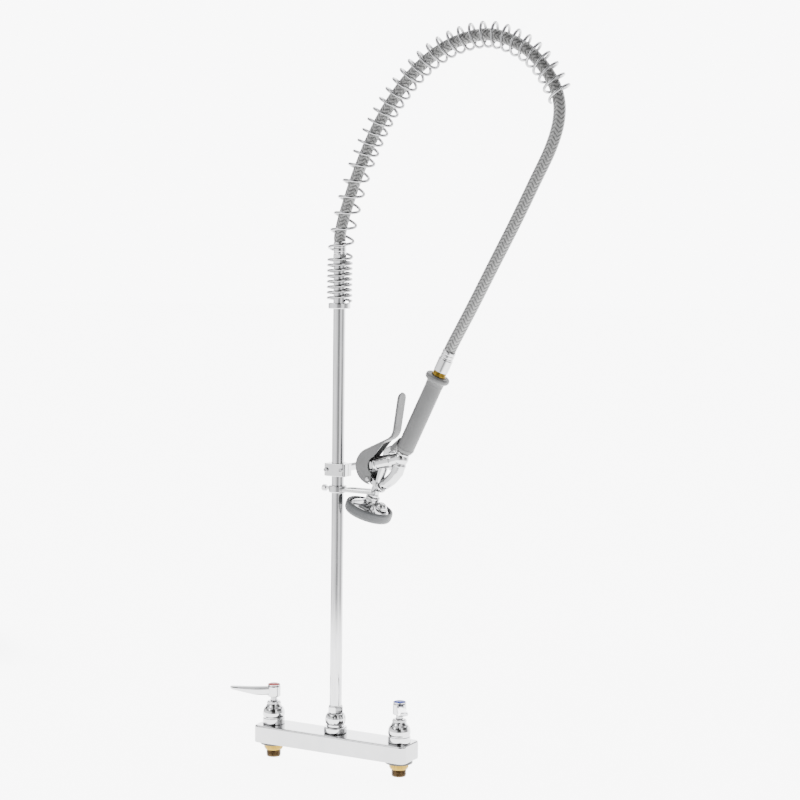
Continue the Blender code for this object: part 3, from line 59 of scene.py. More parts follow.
# ================================================================ camera
def add_camera():
    """The photograph's camera: in front, to the cold side, a little below the spring's arch."""
    azimuth = math.radians(28.558)
    down = math.radians(4.874)
    roll = math.radians(0.690)
    right = Vector((math.cos(azimuth), math.sin(azimuth), 0))
    forward = Vector((-math.sin(azimuth), math.cos(azimuth), 0))
    up = Vector((0, 0, 1))
    looking = math.cos(down) * forward - math.sin(down) * up
    above = math.sin(down) * forward + math.cos(down) * up
    right, above = (math.cos(roll) * right + math.sin(roll) * above,
                    -math.sin(roll) * right + math.cos(roll) * above)
    data = bpy.data.cameras.new("camera")
    data.lens = 88.47
    data.sensor_width = 36
    data.clip_end = 20
    made = bpy.data.objects.new("camera", data)
    bpy.context.scene.collection.objects.link(made)
    turn = Matrix((right, above, -looking)).transposed().to_4x4()
    made.matrix_world = Matrix.Translation((1.3652, -2.3310, 0.7222)) @ turn
    bpy.context.scene.camera = made
    return made


# ================================================================ materials
class Nodes:
    """Short hand for building one material's node tree."""

    def __init__(self, name):
        self.made = bpy.data.materials.new(name)
        self.made.use_nodes = True
        self.tree = self.made.node_tree
        self.shader = self.tree.nodes["Principled BSDF"]

    def node(self, kind, **settings):
        made = self.tree.nodes.new(kind)
        for key, value in settings.items():
            setattr(made, key, value)
        return made

    def link(self, out, into):
        self.tree.links.new(out, into)

    def noise(self, scale, detail=3.0, rough=0.5, stretch=None):
        """Noise over the piece's own coordinates, in features per metre."""
        place = self.node("ShaderNodeTexCoord")
        source = place.outputs["Object"]
        if stretch:
            fit = self.node("ShaderNodeMapping")
            fit.inputs["Scale"].default_value = stretch
            self.link(source, fit.inputs["Vector"])
            source = fit.outputs["Vector"]
        made = self.node("ShaderNodeTexNoise")
        made.inputs["Scale"].default_value = scale
        made.inputs["Detail"].default_value = detail
        made.inputs["Roughness"].default_value = rough
        self.link(source, made.inputs["Vector"])
        return made.outputs["Fac"]

    def ramp(self, source, *stops):
        """Colour ramp through (position, colour) stops."""
        made = self.node("ShaderNodeValToRGB")
        marks = made.color_ramp.elements
        while len(marks) < len(stops):
            marks.new(0.5)
        for mark, (at, colour) in zip(marks, stops):
            mark.position = at
            mark.color = (*colour, 1.0) if len(colour) == 3 else (colour[0],) * 3 + (1.0,)
        self.link(source, made.inputs["Fac"])
        return made.outputs["Color"]

    def span(self, source, low, high):
        made = self.node("ShaderNodeMapRange")
        made.inputs["To Min"].default_value = low
        made.inputs["To Max"].default_value = high
        self.link(source, made.inputs["Value"])
        return made.outputs["Result"]

    def math(self, operation, first, second=None):
        made = self.node("ShaderNodeMath", operation=operation)
        for socket, value in zip(made.inputs, (first, second)):
            if value is None:
                continue
            if isinstance(value, (int, float)):
                socket.default_value = value
            else:
                self.link(value, socket)
        return made.outputs["Value"]

    def bump(self, *layers):
        """Bump from (height, strength, distance in metres) layers."""
        below = None
        for height, strength, distance in layers:
            made = self.node("ShaderNodeBump")
            made.inputs["Strength"].default_value = strength
            made.inputs["Distance"].default_value = distance
            self.link(height, made.inputs["Height"])
            if below is not None:
                self.link(below, made.inputs["Normal"])
            below = made.outputs["Normal"]
        self.link(below, self.shader.inputs["Normal"])

    def set(self, **values):
        for key, value in values.items():
            socket = self.shader.inputs[key.replace("_", " ")]
            if isinstance(value, (int, float)):
                socket.default_value = value
            else:
                self.link(value, socket)


def chrome(name, cast=0.0, low=0.36, high=0.42):
    """Bright plating. Cast pieces keep a faint waviness under the polish."""
    n = Nodes(name)
    cloud = n.noise(38, 4)
    tone = n.ramp(cloud, (0.3, (low, low * 1.005, low * 1.02)), (0.7, (high, high, high * 1.01)))
    n.set(Base_Color=tone, Metallic=1.0, Roughness=n.span(n.noise(160, 5, 0.7), 0.045, 0.13))
    layers = [(n.noise(900, 2), 0.10, 0.00002)]
    if cast:
        layers.append((n.noise(70, 2), cast, 0.0006))
    n.bump(*layers)
    return n.made


def drawn_chrome(name, direction, low=0.33, high=0.41):
    """Plated tube or wire with faint polishing lines along this direction."""
    n = Nodes(name)
    lines = n.noise(60, 3, 0.6, direction)
    tone = n.ramp(lines, (0.3, (low, low, low * 1.02)), (0.7, (high, high, high * 1.01)))
    n.set(Base_Color=tone, Metallic=1.0, Roughness=n.span(n.noise(240, 4, 0.6), 0.06, 0.16))
    n.bump((lines, 0.06, 0.0001))
    return n.made


def steel(name):
    n = Nodes(name)
    grain = n.noise(500, 5, 0.7)
    tone = n.ramp(grain, (0.25, (0.24, 0.24, 0.25)), (0.75, (0.36, 0.36, 0.365)))
    n.set(Base_Color=tone, Metallic=1.0, Roughness=n.span(grain, 0.2, 0.4))
    n.bump((grain, 0.15, 0.00003))
    return n.made


def brass(name, dark, light, rough):
    n = Nodes(name)
    patch = n.noise(120, 6, 0.65)
    lines = n.noise(30, 3, 0.6, (1, 1, 60))
    tone = n.ramp(patch, (0.3, dark), (0.7, light))
    n.set(Base_Color=tone, Metallic=1.0, Roughness=n.span(patch, rough, rough + 0.2))
    n.bump((lines, 0.2, 0.00005), (n.noise(700, 3), 0.12, 0.00003))
    return n.made


def moulded(name, dark, light, rough, grain=1100):
    """Moulded rubber or plastic with fine grain and faint handling marks."""
    n = Nodes(name)
    cloud = n.noise(45, 5, 0.6)
    fine = n.noise(grain, 3, 0.6)
    tone = n.ramp(cloud, (0.3, dark), (0.7, light))
    n.set(Base_Color=tone, Roughness=n.span(n.noise(90, 4), rough, rough + 0.14))
    n.bump((fine, 0.22, 0.00006), (cloud, 0.1, 0.0003))
    return n.made


def braid(name):
    """Woven stainless braid, drawn in the tube's own U (round) and V (metres along); its colour follows the
    weave's height, darker in the grooves between bundles and wires as painted shade and lighter on their
    crowns as painted highlight.
    """
    n = Nodes(name)
    place = n.node("ShaderNodeUVMap", uv_map="tube")
    split = n.node("ShaderNodeSeparateXYZ")
    n.link(place.outputs["UV"], split.inputs["Vector"])
    round_, along = split.outputs["X"], split.outputs["Y"]
    steps = n.math("MULTIPLY", along, 1 / 0.044)
    turns = 8.0
    left = n.math("MULTIPLY", n.math("ADD", round_, steps), turns)
    right = n.math("MULTIPLY", n.math("SUBTRACT", round_, steps), turns)

    def band(phase):
        """Rounded profile across one flat bundle of wires, 0 at its edges and 1 in the middle."""
        return n.math("ABSOLUTE", n.math("SINE", n.math("MULTIPLY", phase, math.pi)))

    over = n.math("GREATER_THAN", n.math("SINE", n.math("MULTIPLY", n.math("ADD", left, right),
                                                        math.pi / 2)), 0.0)
    first = n.math("MULTIPLY", band(left), over)
    second = n.math("MULTIPLY", band(right), n.math("SUBTRACT", 1.0, over))
    height = n.math("ADD", first, second)
    wires = n.math("ADD", n.math("MULTIPLY", n.math("SINE", n.math("MULTIPLY", left, 38.0)), over),
                   n.math("MULTIPLY", n.math("SINE", n.math("MULTIPLY", right, 38.0)),
                          n.math("SUBTRACT", 1.0, over)))
    fine = n.math("MULTIPLY", wires, 0.12)
    total = n.math("ADD", height, fine)
    # painted shade and painted highlight: the weave's height sets the colour, dark in the grooves between
    # bundles and wires, light on their crowns
    tone = n.ramp(total, (0.0, (0.05, 0.05, 0.05)), (0.45, (0.11, 0.11, 0.11)),
                  (1.0, (0.19, 0.19, 0.187)))
    n.set(Base_Color=tone, Metallic=0.85, Roughness=n.span(n.noise(300, 4), 0.3, 0.5))
    n.bump((total, 0.55, 0.0006))
    return n.made


def gloss(name, dark, light):
    n = Nodes(name)
    cloud = n.noise(260, 4, 0.6)
    n.set(Base_Color=n.ramp(cloud, (0.3, dark), (0.7, light)),
          Roughness=n.span(cloud, 0.3, 0.45), Specular_IOR_Level=0.06)
    n.bump((cloud, 0.1, 0.0001))
    return n.made


CHROME = chrome("chrome")
CAST = chrome("cast_chrome", 0.35)
BODY = chrome("body_chrome", 0.12, 0.29, 0.32)
TUBE = drawn_chrome("tube_chrome", (9, 9, 0.5))
WIRE = drawn_chrome("wire_chrome", (6, 6, 6), 0.20, 0.27)
STEEL = steel("plain_steel")
BRASS = brass("yellow_brass", (0.15, 0.095, 0.012), (0.25, 0.165, 0.030), 0.2)
THREAD = brass("dull_brass", (0.035, 0.022, 0.010), (0.075, 0.048, 0.022), 0.34)
RUBBER = moulded("black_rubber", (0.006, 0.006, 0.006), (0.016, 0.016, 0.015), 0.5)
GRIP = moulded("grip_grey", (0.052, 0.0525, 0.053), (0.068, 0.0685, 0.069), 0.42)
DARK = moulded("stop_grey", (0.034, 0.0345, 0.035), (0.046, 0.0465, 0.047), 0.44)
BUMPER = moulded("bumper_grey", (0.026, 0.028, 0.030), (0.038, 0.040, 0.043), 0.48, 800)
BRAID = braid("steel_braid")
RED = gloss("hot_red", (0.20, 0.002, 0.0015), (0.27, 0.004, 0.003))
BLUE = gloss("cold_blue", (0.004, 0.020, 0.19), (0.006, 0.032, 0.27))


# ================================================================ builders
def finish_mesh(name, build, material, body, place, stands_for, angle):
    """Mesh object from a bmesh in mm, riding on its body and standing in for CAD nodes."""
    bmesh.ops.remove_doubles(build, verts=build.verts, dist=0.0005)
    bmesh.ops.recalc_face_normals(build, faces=build.faces)
    bmesh.ops.scale(build, vec=(MM, MM, MM), verts=build.verts)
    mesh = bpy.data.meshes.new(name)
    build.to_mesh(mesh)
    build.free()
    mesh.shade_smooth()
    mesh.set_sharp_from_angle(angle=math.radians(angle))
    mesh.materials.append(material)
    made = bpy.data.objects.new(name, mesh)
    bpy.context.scene.collection.objects.link(made)
    made.matrix_world = Matrix.Translation((0, 0, level["drop"] * MM)) @ (place or Matrix.Identity(4))
    even = made.modifiers.new("even", "WEIGHTED_NORMAL")
    even.keep_sharp = True
    if body:
        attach(made, body)
    if stands_for:
        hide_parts(*stands_for)
    return made


def rounded(profile, fillet, closed=False):
    """The profile with each corner turned into a small curve; a third number sets its own size."""
    count = len(profile)
    result = []
    for i, entry in enumerate(profile):
        point = Vector(entry[:2])
        size = entry[2] if len(entry) > 2 else fillet
        if not closed and i in (0, count - 1) or size <= 0:
            result.append(tuple(point))
            continue
        before = Vector(profile[i - 1][:2]) - point
        after = Vector(profile[(i + 1) % count][:2]) - point
        if before.length < 1e-6 or after.length < 1e-6:
            result.append(tuple(point))
            continue
        start = point + before.normalized() * min(size, before.length * 0.48)
        end = point + after.normalized() * min(size, after.length * 0.48)
        for t in (0.0, 0.25, 0.5, 0.75, 1.0):
            result.append(tuple(start * (1 - t) ** 2 + point * 2 * t * (1 - t) + end * t * t))
    return result


def lathe(name, profile, material, body, place=None, stands_for=(), fillet=0.5, closed=False,
          steps=TURNS, shape=None, angle=45):
    """Turned piece from (radius, height) points. shape(angle, radius, height) may vary the radius."""
    line = rounded(profile, fillet, closed)
    build = bmesh.new()
    rings = []
    for radius, height in line:
        if radius < 1e-6:
            rings.append([build.verts.new((0, 0, height))])
            continue
        ring = []
        for i in range(steps):
            turn = math.tau * i / steps
            wide = shape(turn, radius, height) if shape else radius
            ring.append(build.verts.new((wide * math.cos(turn), wide * math.sin(turn), height)))
        rings.append(ring)
    pairs = list(zip(rings, rings[1:]))
    if closed:
        pairs.append((rings[-1], rings[0]))
    for low, high in pairs:
        for i in range(steps):
            j = (i + 1) % steps
            if len(low) == 1 and len(high) == 1:
                continue
            if len(low) == 1:
                build.faces.new((low[0], high[i], high[j]))
            elif len(high) == 1:
                build.faces.new((low[i], high[0], low[j]))
            else:
                build.faces.new((low[i], high[i], high[j], low[j]))
    return finish_mesh(name, build, material, body, place, stands_for, angle)


def hexagonal(across_flats, twist=0.0):
    """Shape function that trims a turned piece to six flats."""
    def shape(turn, radius, height):
        local = (turn - twist) % (math.tau / 6) - math.tau / 12
        return min(radius, across_flats / 2 / math.cos(local))
    return shape


def hex_nut(name, across_flats, foot, top, bore, material, body, place=None, stands_for=(), twist=0.0):
    """Hexagon with the corners chamfered by a turned cone at both ends."""
    corner = across_flats / 2 / math.cos(math.radians(30))
    flat = across_flats / 2
    drop = (corner - flat) * 0.62 + 0.25
    profile = [(bore, top - 0.6), (bore + 0.6, top), (flat * 0.97, top), (corner, top - drop, 0.15),
               (corner, foot + drop, 0.15), (flat * 0.97, foot), (bore + 0.6, foot), (bore, foot + 0.6)]
    return lathe(name, profile, material, body, place, stands_for, 0.2, True, 96,
                 hexagonal(across_flats, twist), 28)


def threaded(name, radius, depth, pitch, foot, top, bore, material, body, place=None, stands_for=(),
             steps=64):
    """Tube with a screw thread on its outside."""
    build = bmesh.new()
    rows = max(8, round((top - foot) / pitch * 7))
    rings = [[build.verts.new((bore * math.cos(math.tau * i / steps),
                               bore * math.sin(math.tau * i / steps), foot)) for i in range(steps)]]
    for k in range(rows + 1):
        height = foot + (top - foot) * k / rows
        fade = min(1.0, (height - foot) / pitch * 0.7, (top - height) / pitch + 0.3)
        ring = []
        for i in range(steps):
            turn = math.tau * i / steps
            wave = abs(((height / pitch - turn / math.tau) % 1.0) * 2 - 1)
            wide = radius - depth + depth * min(1.0, wave * 1.25) * max(0.0, fade)
            ring.append(build.verts.new((wide * math.cos(turn), wide * math.sin(turn), height)))
        rings.append(ring)
    rings.append([build.verts.new((bore * math.cos(math.tau * i / steps),
                                   bore * math.sin(math.tau * i / steps), top)) for i in range(steps)])
    for low, high in zip(rings, rings[1:] + rings[:1]):
        for i in range(steps):
            j = (i + 1) % steps
            build.faces.new((low[i], high[i], high[j], low[j]))
    return finish_mesh(name, build, material, body, place, stands_for, 60)


def prism(name, outline, thickness, bevel, material, body, place=None, stands_for=(), segments=3,
          angle=40):
    """Flat outline in local XY, thickened evenly about z = 0, with rounded rims."""
    build = bmesh.new()
    face = build.faces.new([build.verts.new((x, y, -thickness / 2)) for x, y in outline])
    lifted = bmesh.ops.extrude_face_region(build, geom=[face])
    corners = [item for item in lifted["geom"] if isinstance(item, bmesh.types.BMVert)]
    bmesh.ops.translate(build, verts=corners, vec=(0, 0, thickness))
    if bevel:
        rims = [e for e in build.edges if abs(e.verts[0].co.z - e.verts[1].co.z) < 1e-7]
        bmesh.ops.bevel(build, geom=rims, offset=bevel, segments=segments, affect="EDGES", profile=0.5,
                        clamp_overlap=True)
    return finish_mesh(name, build, material, body, place, stands_for, angle)


def loft(name, sections, material, body, place=None, stands_for=(), angle=50):
    """Skin over closed sections of equal counts of (x, y, z) points, with capped ends."""
    build = bmesh.new()
    rings = [[build.verts.new(p) for p in section] for section in sections]
    count = len(rings[0])
    for low, high in zip(rings, rings[1:]):
        for i in range(count):
            j = (i + 1) % count
            build.faces.new((low[i], high[i], high[j], low[j]))
    build.faces.new(rings[0])
    build.faces.new(rings[-1])
    return finish_mesh(name, build, material, body, place, stands_for, angle)


def tube(name, points, radius, sides, material, body, stands_for=(), place=None, cap=0.35):
    """Round wire or hose along points in mm, with eased ends and U and V along it."""
    points = [Vector(p) for p in points]
    build = bmesh.new()
    layer = build.loops.layers.uv.new("tube")
    tangents = []
    for i in range(len(points)):
        tangents.append((points[min(i + 1, len(points) - 1)] - points[max(i - 1, 0)]).normalized())
    side = tangents[0].orthogonal().normalized()
    rings, lengths = [], [0.0]
    for i, (point, tangent) in enumerate(zip(points, tangents)):
        side = (side - tangent * side.dot(tangent)).normalized()
        other = tangent.cross(side)
        rings.append([build.verts.new(point + (side * math.cos(math.tau * k / sides)
                                               + other * math.sin(math.tau * k / sides)) * radius)
                      for k in range(sides)])
        if i:
            lengths.append(lengths[-1] + (point - points[i - 1]).length)
    for i, (low, high) in enumerate(zip(rings, rings[1:])):
        for k in range(sides):
            j = (k + 1) % sides
            face = build.faces.new((low[k], high[k], high[j], low[j]))
            spots = ((k, i), (k, i + 1), (k + 1, i + 1), (k + 1, i))
            for loop, (u, v) in zip(face.loops, spots):
                loop[layer].uv = (u / sides, lengths[v] * MM)
    for ring, tangent, sign in ((rings[0], tangents[0], -1), (rings[-1], tangents[-1], 1)):
        centre = sum((v.co for v in ring), Vector()) / sides
        inner = [build.verts.new(centre + (v.co - centre) * 0.72 + tangent * sign * radius * cap)
                 for v in ring]
        for k in range(sides):
            j = (k + 1) % sides
            build.faces.new((ring[k], ring[j], inner[j], inner[k]))
        build.faces.new(inner)
    return finish_mesh(name, build, material, body, place, stands_for, 60)


def lean(x, z, degrees, y=0.0):
    """Place in mm whose local +Z leans from upright towards +X."""
    return Matrix.Translation((x * MM, y * MM, z * MM)) @ Matrix.Rotation(math.radians(degrees), 4, "Y")


def step_along(point, degrees, distance):
    turn = math.radians(degrees)
    return (point[0] + math.sin(turn) * distance, point[1] + math.cos(turn) * distance)


def facing(x, y, z, direction):
    """Place in mm whose local +Z points along this direction."""
    turn = Vector((0, 0, 1)).rotation_difference(Vector(direction)).to_matrix().to_4x4()
    return Matrix.Translation((x * MM, y * MM, z * MM)) @ turn


def sidewise(x=0.0, z=0.0):
    """Local X and Y lie in the world's XZ plane and local +Z points to -Y."""
    return Matrix.Translation((x * MM, 0, z * MM)) @ Matrix.Rotation(math.radians(90), 4, "X")


def arc(centre, radius, start, end, points):
    steps = [math.radians(start + (end - start) * i / (points - 1)) for i in range(points)]
    return [(centre[0] + radius * math.cos(a), centre[1] + radius * math.sin(a)) for a in steps]


# ================================================================ base casting and inlets
VALVES = {"hot": -101.6, "cold": 101.6}


def base_casting():
    """Long low casting: round upright corners, a soft top edge and a slightly crowned top."""
    half_x, half_y, corner, height = 121.6, 25.0, 9.0, 24.6

    def ring(inset, z):
        points = []
        radius = max(0.6, corner - inset)
        for quarter, (sx, sy) in enumerate(((1, 1), (-1, 1), (-1, -1), (1, -1))):
            cx = sx * (half_x - corner)
            cy = sy * (half_y - corner)
            if inset > corner - 0.6:
                cx = sx * (half_x - inset - 0.6)
                cy = sy * (half_y - inset - 0.6)
            for x, y in arc((cx, cy), radius, quarter * 90, quarter * 90 + 90, 13):
                points.append((x, y, z))
        full = []
        for i, point in enumerate(points):
            after = points[(i + 1) % len(points)]
            gap = (Vector(after) - Vector(point)).length
            parts = max(1, int(gap / 12))
            for k in range(parts):
                full.append(tuple(Vector(point).lerp(Vector(after), k / parts)))
        return full

    levels = [(1.2, 0.0), (0.35, 0.35), (0.0, 1.2), (0.0, 6.0), (0.0, 12.0), (0.0, 18.0), (0.0, height - 2.6)]
    for a in (15, 30, 45, 60, 75, 90):
        turn = math.radians(a)
        levels.append((2.4 * (1 - math.cos(turn)), height - 2.6 + 2.5 * math.sin(turn)))
    levels.append((7.0, height))
    sections = [ring(inset, z) for inset, z in levels]
    count = min(len(s) for s in sections)
    sections = [s for s in sections if len(s) == count]
    loft("base_body_fine", sections, BODY, "base", None, ["base_body"], 50)


def inlet(side, x):
    place = lean(x, 0, 0)
    threaded(f"{side}_shank_fine", 10.35, 0.75, 1.814, -22.5, 7.6, 7.55, THREAD, "base", place,
             [f"{side}_inlet_shank"])
    lathe(f"{side}_washer_fine", [(10.75, -0.3), (19.0, -0.3), (19.0, -4.3), (10.75, -4.3)], RUBBER, "base",
          place, [f"{side}_shank_washer"], 0.8, True)

    def lobed(turn, radius, height):
        """Eight shallow grip notches round the lock nut."""
        dip = max(0.0, math.cos(turn * 8)) ** 6
        return radius - (0.9 * dip if radius > 12.4 else 0.0)

    lathe(f"{side}_lock_nut_fine", [(10.75, -4.6), (13.3, -4.6), (13.5, -5.6), (13.5, -9.4), (11.9, -12.6),
                                    (10.75, -12.6)], BRASS, "base", place, [f"{side}_lock_nut"], 0.5,
          True, 128, lobed)
    lathe(f"{side}_thread_end", [(7.6, -21.6), (9.3, -21.6), (9.3, -22.45), (7.6, -22.45)], BRASS, "base",
          place, (), 0.3, True)


# ================================================================ hot and cold valves
def valve(side, x):
    place = lean(x, 0, 0)
    profile = [(5.4, 61.4), (8.6, 61.4, 0.9), (9.5, 60.2, 0.6), (9.6, 57.0, 1.5)]
    profile += [(9.5 + 6.25 * math.cos(math.radians(a)), 43.0 + 11.0 * math.sin(math.radians(a)), 0.8)
                for a in (70, 50, 30, 12)]
    profile += [(15.74, 41.0, 2.0), (14.6, 38.4, 0.4), (14.6, 37.1, 0.3), (15.75, 37.0, 0.5),
                (15.75, 28.9, 0.5), (9.9, 28.9, 0.1), (9.9, 45.9, 0.1), (5.4, 45.9, 0.1)]
    lathe(f"{side}_bonnet_fine", profile, CHROME, "base", place, [f"{side}_bonnet"], 0.5, True, 96)
    lathe(f"{side}_bonnet_ring", [(9.7, 59.2), (10.3, 58.9), (10.3, 58.1), (9.7, 57.8)], CHROME, "base",
          place, (), 0.25, True, 64)
    lathe(f"{side}_stem_fine", [(0, 60.0), (4.75, 60.0), (4.75, 67.3), (3.55, 67.3, 0.1), (3.55, 74.7),
                                (0, 74.7)],
          STEEL, f"{side}_handle", place, [f"{side}_stem"], 0.4, False, 48)
    handle = f"{side}_handle"
    lathe(f"{side}_hub_fine", [(3.9, 68.0), (8.7, 67.6, 0.4), (9.5, 68.6, 1.2), (9.3, 76.0, 4.0),
                               (9.5, 82.0, 1.4), (8.6, 83.3, 0.6), (6.5, 83.3, 0.3), (6.5, 78.3),
                               (2.1, 78.3), (2.1, 75.1), (3.9, 75.1)], CHROME, handle, place,
          [f"{side}_lever_handle"], 0.35, True)
    lathe(f"{side}_handle_screw_fine", [(0, 80.4), (3.2, 80.4), (4.0, 79.4), (4.0, 78.6), (1.8, 78.6),
                                        (1.8, 69.5), (0, 69.5)], STEEL, handle, place,
          [f"{side}_handle_screw"], 0.3, False, 32)
    cap = RED if side == "hot" else BLUE
    lathe(f"{side}_index_fine", [(0, 86.0), (4.0, 85.95), (7.2, 85.7, 0.8), (8.8, 84.9, 0.7),
                                 (8.8, 83.6, 0.3),
                                 (6.2, 83.6), (6.2, 80.9), (0, 80.9)], cap, handle, place,
          [f"{side}_index_button"], 0.3)
    lathe(f"{side}_index_rim", [(8.75, 83.5), (9.15, 83.7), (9.15, 84.7), (8.7, 84.9)], CHROME, handle,
          place, (), 0.2, True, 64)
    lever_blade(side, x)


def lever_blade(side, x):
    """Tapered lever with a full root, a thin waist and a slightly raised rounded tip."""
    sections = []
    stations = [(5.5, 10.4, 12.4, 82.4), (12.0, 10.8, 12.8, 82.4), (20.0, 10.9, 12.8, 82.5),
                (27.0, 11.0, 12.3, 82.7), (33.0, 11.0, 11.0, 83.0), (39.0, 11.1, 9.7, 83.3),
                (45.0, 11.1, 8.4, 83.7),
                (51.0, 11.2, 7.1, 84.1), (56.0, 11.0, 6.0, 84.4), (59.8, 10.0, 5.0, 84.5),
                (61.7, 7.4, 3.7, 84.3),
                (62.5, 4.0, 2.0, 83.9)]
    for along, wide, deep, top in stations:
        section = []
        for i in range(32):
            turn = math.tau * i / 32
            c, s = math.cos(turn), math.sin(turn)
            section.append((along, math.copysign(abs(c) ** 0.62, c) * wide / 2,
                            top - deep / 2 + math.copysign(abs(s) ** 0.62, s) * deep / 2))
        sections.append(section)
    outward = -50 if side == "hot" else 35
    turn = Matrix.Rotation(math.radians(-90 + outward), 4, "Z")
    loft(f"{side}_lever_blade", sections, CHROME, f"{side}_handle", lean(x, 0, 0) @ turn)


# ================================================================ centre outlet and riser
def outlet_and_riser():
    lathe("outlet_ring_fine", [(9.0, 37.5), (15.4, 37.5), (16.5, 36.6, 0.8), (16.5, 30.4, 0.6),
                               (15.9, 28.9, 0.5),
                               (9.0, 28.9)], CHROME, "base", None, ["outlet_ring"], 0.4, True, 96)

    def fluted(turn, radius, height):
        """Shallow flats round the nut's waist, as a strap wrench grips."""
        dip = 0.5 + 0.5 * math.cos(turn * 12)
        return radius - (0.55 * dip ** 3 if radius > 13.2 else 0.0)

    nut = [(9.0, 56.8), (10.9, 56.8, 0.6), (12.2, 56.0, 0.9), (13.9, 53.2, 1.5), (14.75, 49.6, 2.0),
           (14.6, 45.6, 2.0),
           (13.6, 42.2, 1.5), (12.35, 40.8, 0.5), (12.35, 37.8, 0.3), (9.0, 37.8)]
    lathe("outlet_nut_fine", nut, CHROME, "base", None, ["outlet_nut"], 0.5, True, 144, fluted)
    hex_nut("riser_adapter_fine", 20.0, 57.1, 66.6, 8.85, CHROME, "riser", None, ["riser_adapter"],
            math.radians(0))
    lathe("riser_spigot", [(5.2, 57.4), (8.5, 57.4), (8.5, 17.0), (5.2, 17.0)], STEEL, "riser", None, (),
          0.4, True, 48)
    lathe("riser_pipe_fine", [(6.25, 60.2), (8.55, 60.2), (8.55, 66.0, 0), (8.55, 200, 0), (8.55, 330, 0),
                              (8.55, 460, 0), (8.55, 590, 0), (8.55, 687.7),
                              (6.25, 687.7)], TUBE, "riser", None,
          ["riser_pipe"], 0.3, True, 96)
    lathe("adapter_bead", [(8.6, 66.7), (9.5, 66.5), (9.5, 67.3), (8.6, 67.9)], CHROME, "riser", None, (),
          0.25, True, 64)


# ================================================================ spring and hose
SPRING_ROUTE = [(0, 633.5), (0, 660), (0.3, 686), (2, 712), (9, 748), (26, 803), (50, 857), (80, 905),
                (120, 948),
                (168, 977), (222, 987), (270, 971), (303, 943), (326, 905)]
HOSE_ROUTE = [(0, 714.6), (0, 723.6), (6.5, 750), (25.5, 803), (50, 857), (80, 905), (120, 948), (168, 977),
              (222, 987), (269.5, 970.5), (302, 942), (321, 909), (324, 877), (313.5, 840), (290, 793),
              (263, 740.5), (234, 687), (204.6, 632.5)]
GRIP_FOOT = (103.6, 431.8)
GRIP_LEAN = 25.8
FERRULE_TOP = 155.5            # along the grip's axis from its foot


def even_route(route, step):
    """Even points along a smooth curve through the route, as (x, z) in mm."""
    knots = [Vector(p) for p in route]
    knots = [knots[0] * 2 - knots[1]] + knots + [knots[-1] * 2 - knots[-2]]
    dense = []
    for a, b, c, d in zip(knots, knots[1:], knots[2:], knots[3:]):
        for i in range(24):
            t = i / 24
            dense.append(0.5 * (2 * b + (c - a) * t + (2 * a - 5 * b + 4 * c - d) * t ** 2
                                + (3 * b - a - 3 * c + d) * t ** 3))
    dense.append(knots[-2])
    lengths = [0.0]
    for first, second in zip(dense, dense[1:]):
        lengths.append(lengths[-1] + (second - first).length)
    count = max(2, round(lengths[-1] / step) + 1)
    points, index = [], 0
    for i in range(count):
        wanted = lengths[-1] * i / (count - 1)
        while index < len(lengths) - 2 and lengths[index + 1] < wanted:
            index += 1
        share = (wanted - lengths[index]) / (lengths[index + 1] - lengths[index])
        points.append(dense[index].lerp(dense[index + 1], share))
    return points, lengths[-1]


def overhead_spring():
    """Eight close turns on the riser, six wide ones, then the even coils of the arch."""
    points, length = even_route(SPRING_ROUTE, 1.0)
    spacing = length / (len(points) - 1)
    tight, wide, arch = 8, 6, 26
    arch_pitch = (length - tight * 7.4 - wide * 22.7) / arch
    per_turn = 28
    places = []
    for i in range((tight + wide + arch) * per_turn + 1):
        turns = i / per_turn
        along = (min(turns, tight) * 7.4 + max(0.0, min(turns - tight, wide)) * 22.7
                 + max(0.0, turns - tight - wide) * arch_pitch)
        index = min(int(along / spacing), len(points) - 2)
        centre = points[index].lerp(points[index + 1], along / spacing - index)
        along_x, along_z = (points[index + 1] - points[index]).normalized()
        angle = math.tau * turns
        across = 16.0 * math.cos(angle)
        places.append((centre[0] + along_z * across, 16.0 * math.sin(angle),
                       centre[1] - along_x * across))
    tube("overhead_spring_fine", places, 1.98, 16, WIRE, "riser", ["overhead_spring"])


def hose():
    """Braided hose from the riser's top through the spring and down to the grip."""
    ends = [step_along(GRIP_FOOT, GRIP_LEAN, FERRULE_TOP + out) for out in (9.3, 0.3)]
    points = even_route(HOSE_ROUTE + ends, 3.0)[0]
    places = [(x, 0, z + UPPER) for x, z in points]
    level["drop"] = 0.0
    made = tube("hose_fine", places, 8.2, 40, BRAID, None, ["hose"], None, 0.02)
    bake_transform(made)
    return made


def spring_fittings():
    lathe("spring_collar_fine", [(8.85, 623.2), (14.7, 623.2), (15.5, 624.1, 0.8), (15.5, 630.3, 0.8),
                                 (14.7, 631.2), (8.85, 631.2)], CHROME, "riser", None, ["spring_collar"],
          0.4, True, 96)
    lathe("collar_set_screw_fine", [(0, 12.6), (1.1, 12.6, 0.1), (1.1, 14.4, 0.1), (1.9, 14.4, 0.2),
                                    (1.9, 9.2), (0, 9.2)],
          STEEL, "riser", facing(0, 0, 627.2, (0, -1, 0)), ["collar_set_screw"], 0.2, False, 24,
          None, 30)
    hex_nut("hose_nut_fine", 18.0, 682.0, 698.0, 8.85, CHROME, "riser", None, ["hose_nut"])
    lathe("upper_ferrule_fine", [(6.4, 698.3), (8.9, 698.3), (8.6, 701.0), (9.0, 702.0), (9.0, 705.0),
                                 (8.6, 706.0),
                                 (9.0, 707.0), (9.0, 713.6), (8.4, 714.3), (6.4, 714.3)], CHROME, "riser",
          None, ["upper_hose_ferrule"], 0.4, True, 64)


# ================================================================ spray handle
def grip_place():
    return lean(*GRIP_FOOT, GRIP_LEAN)


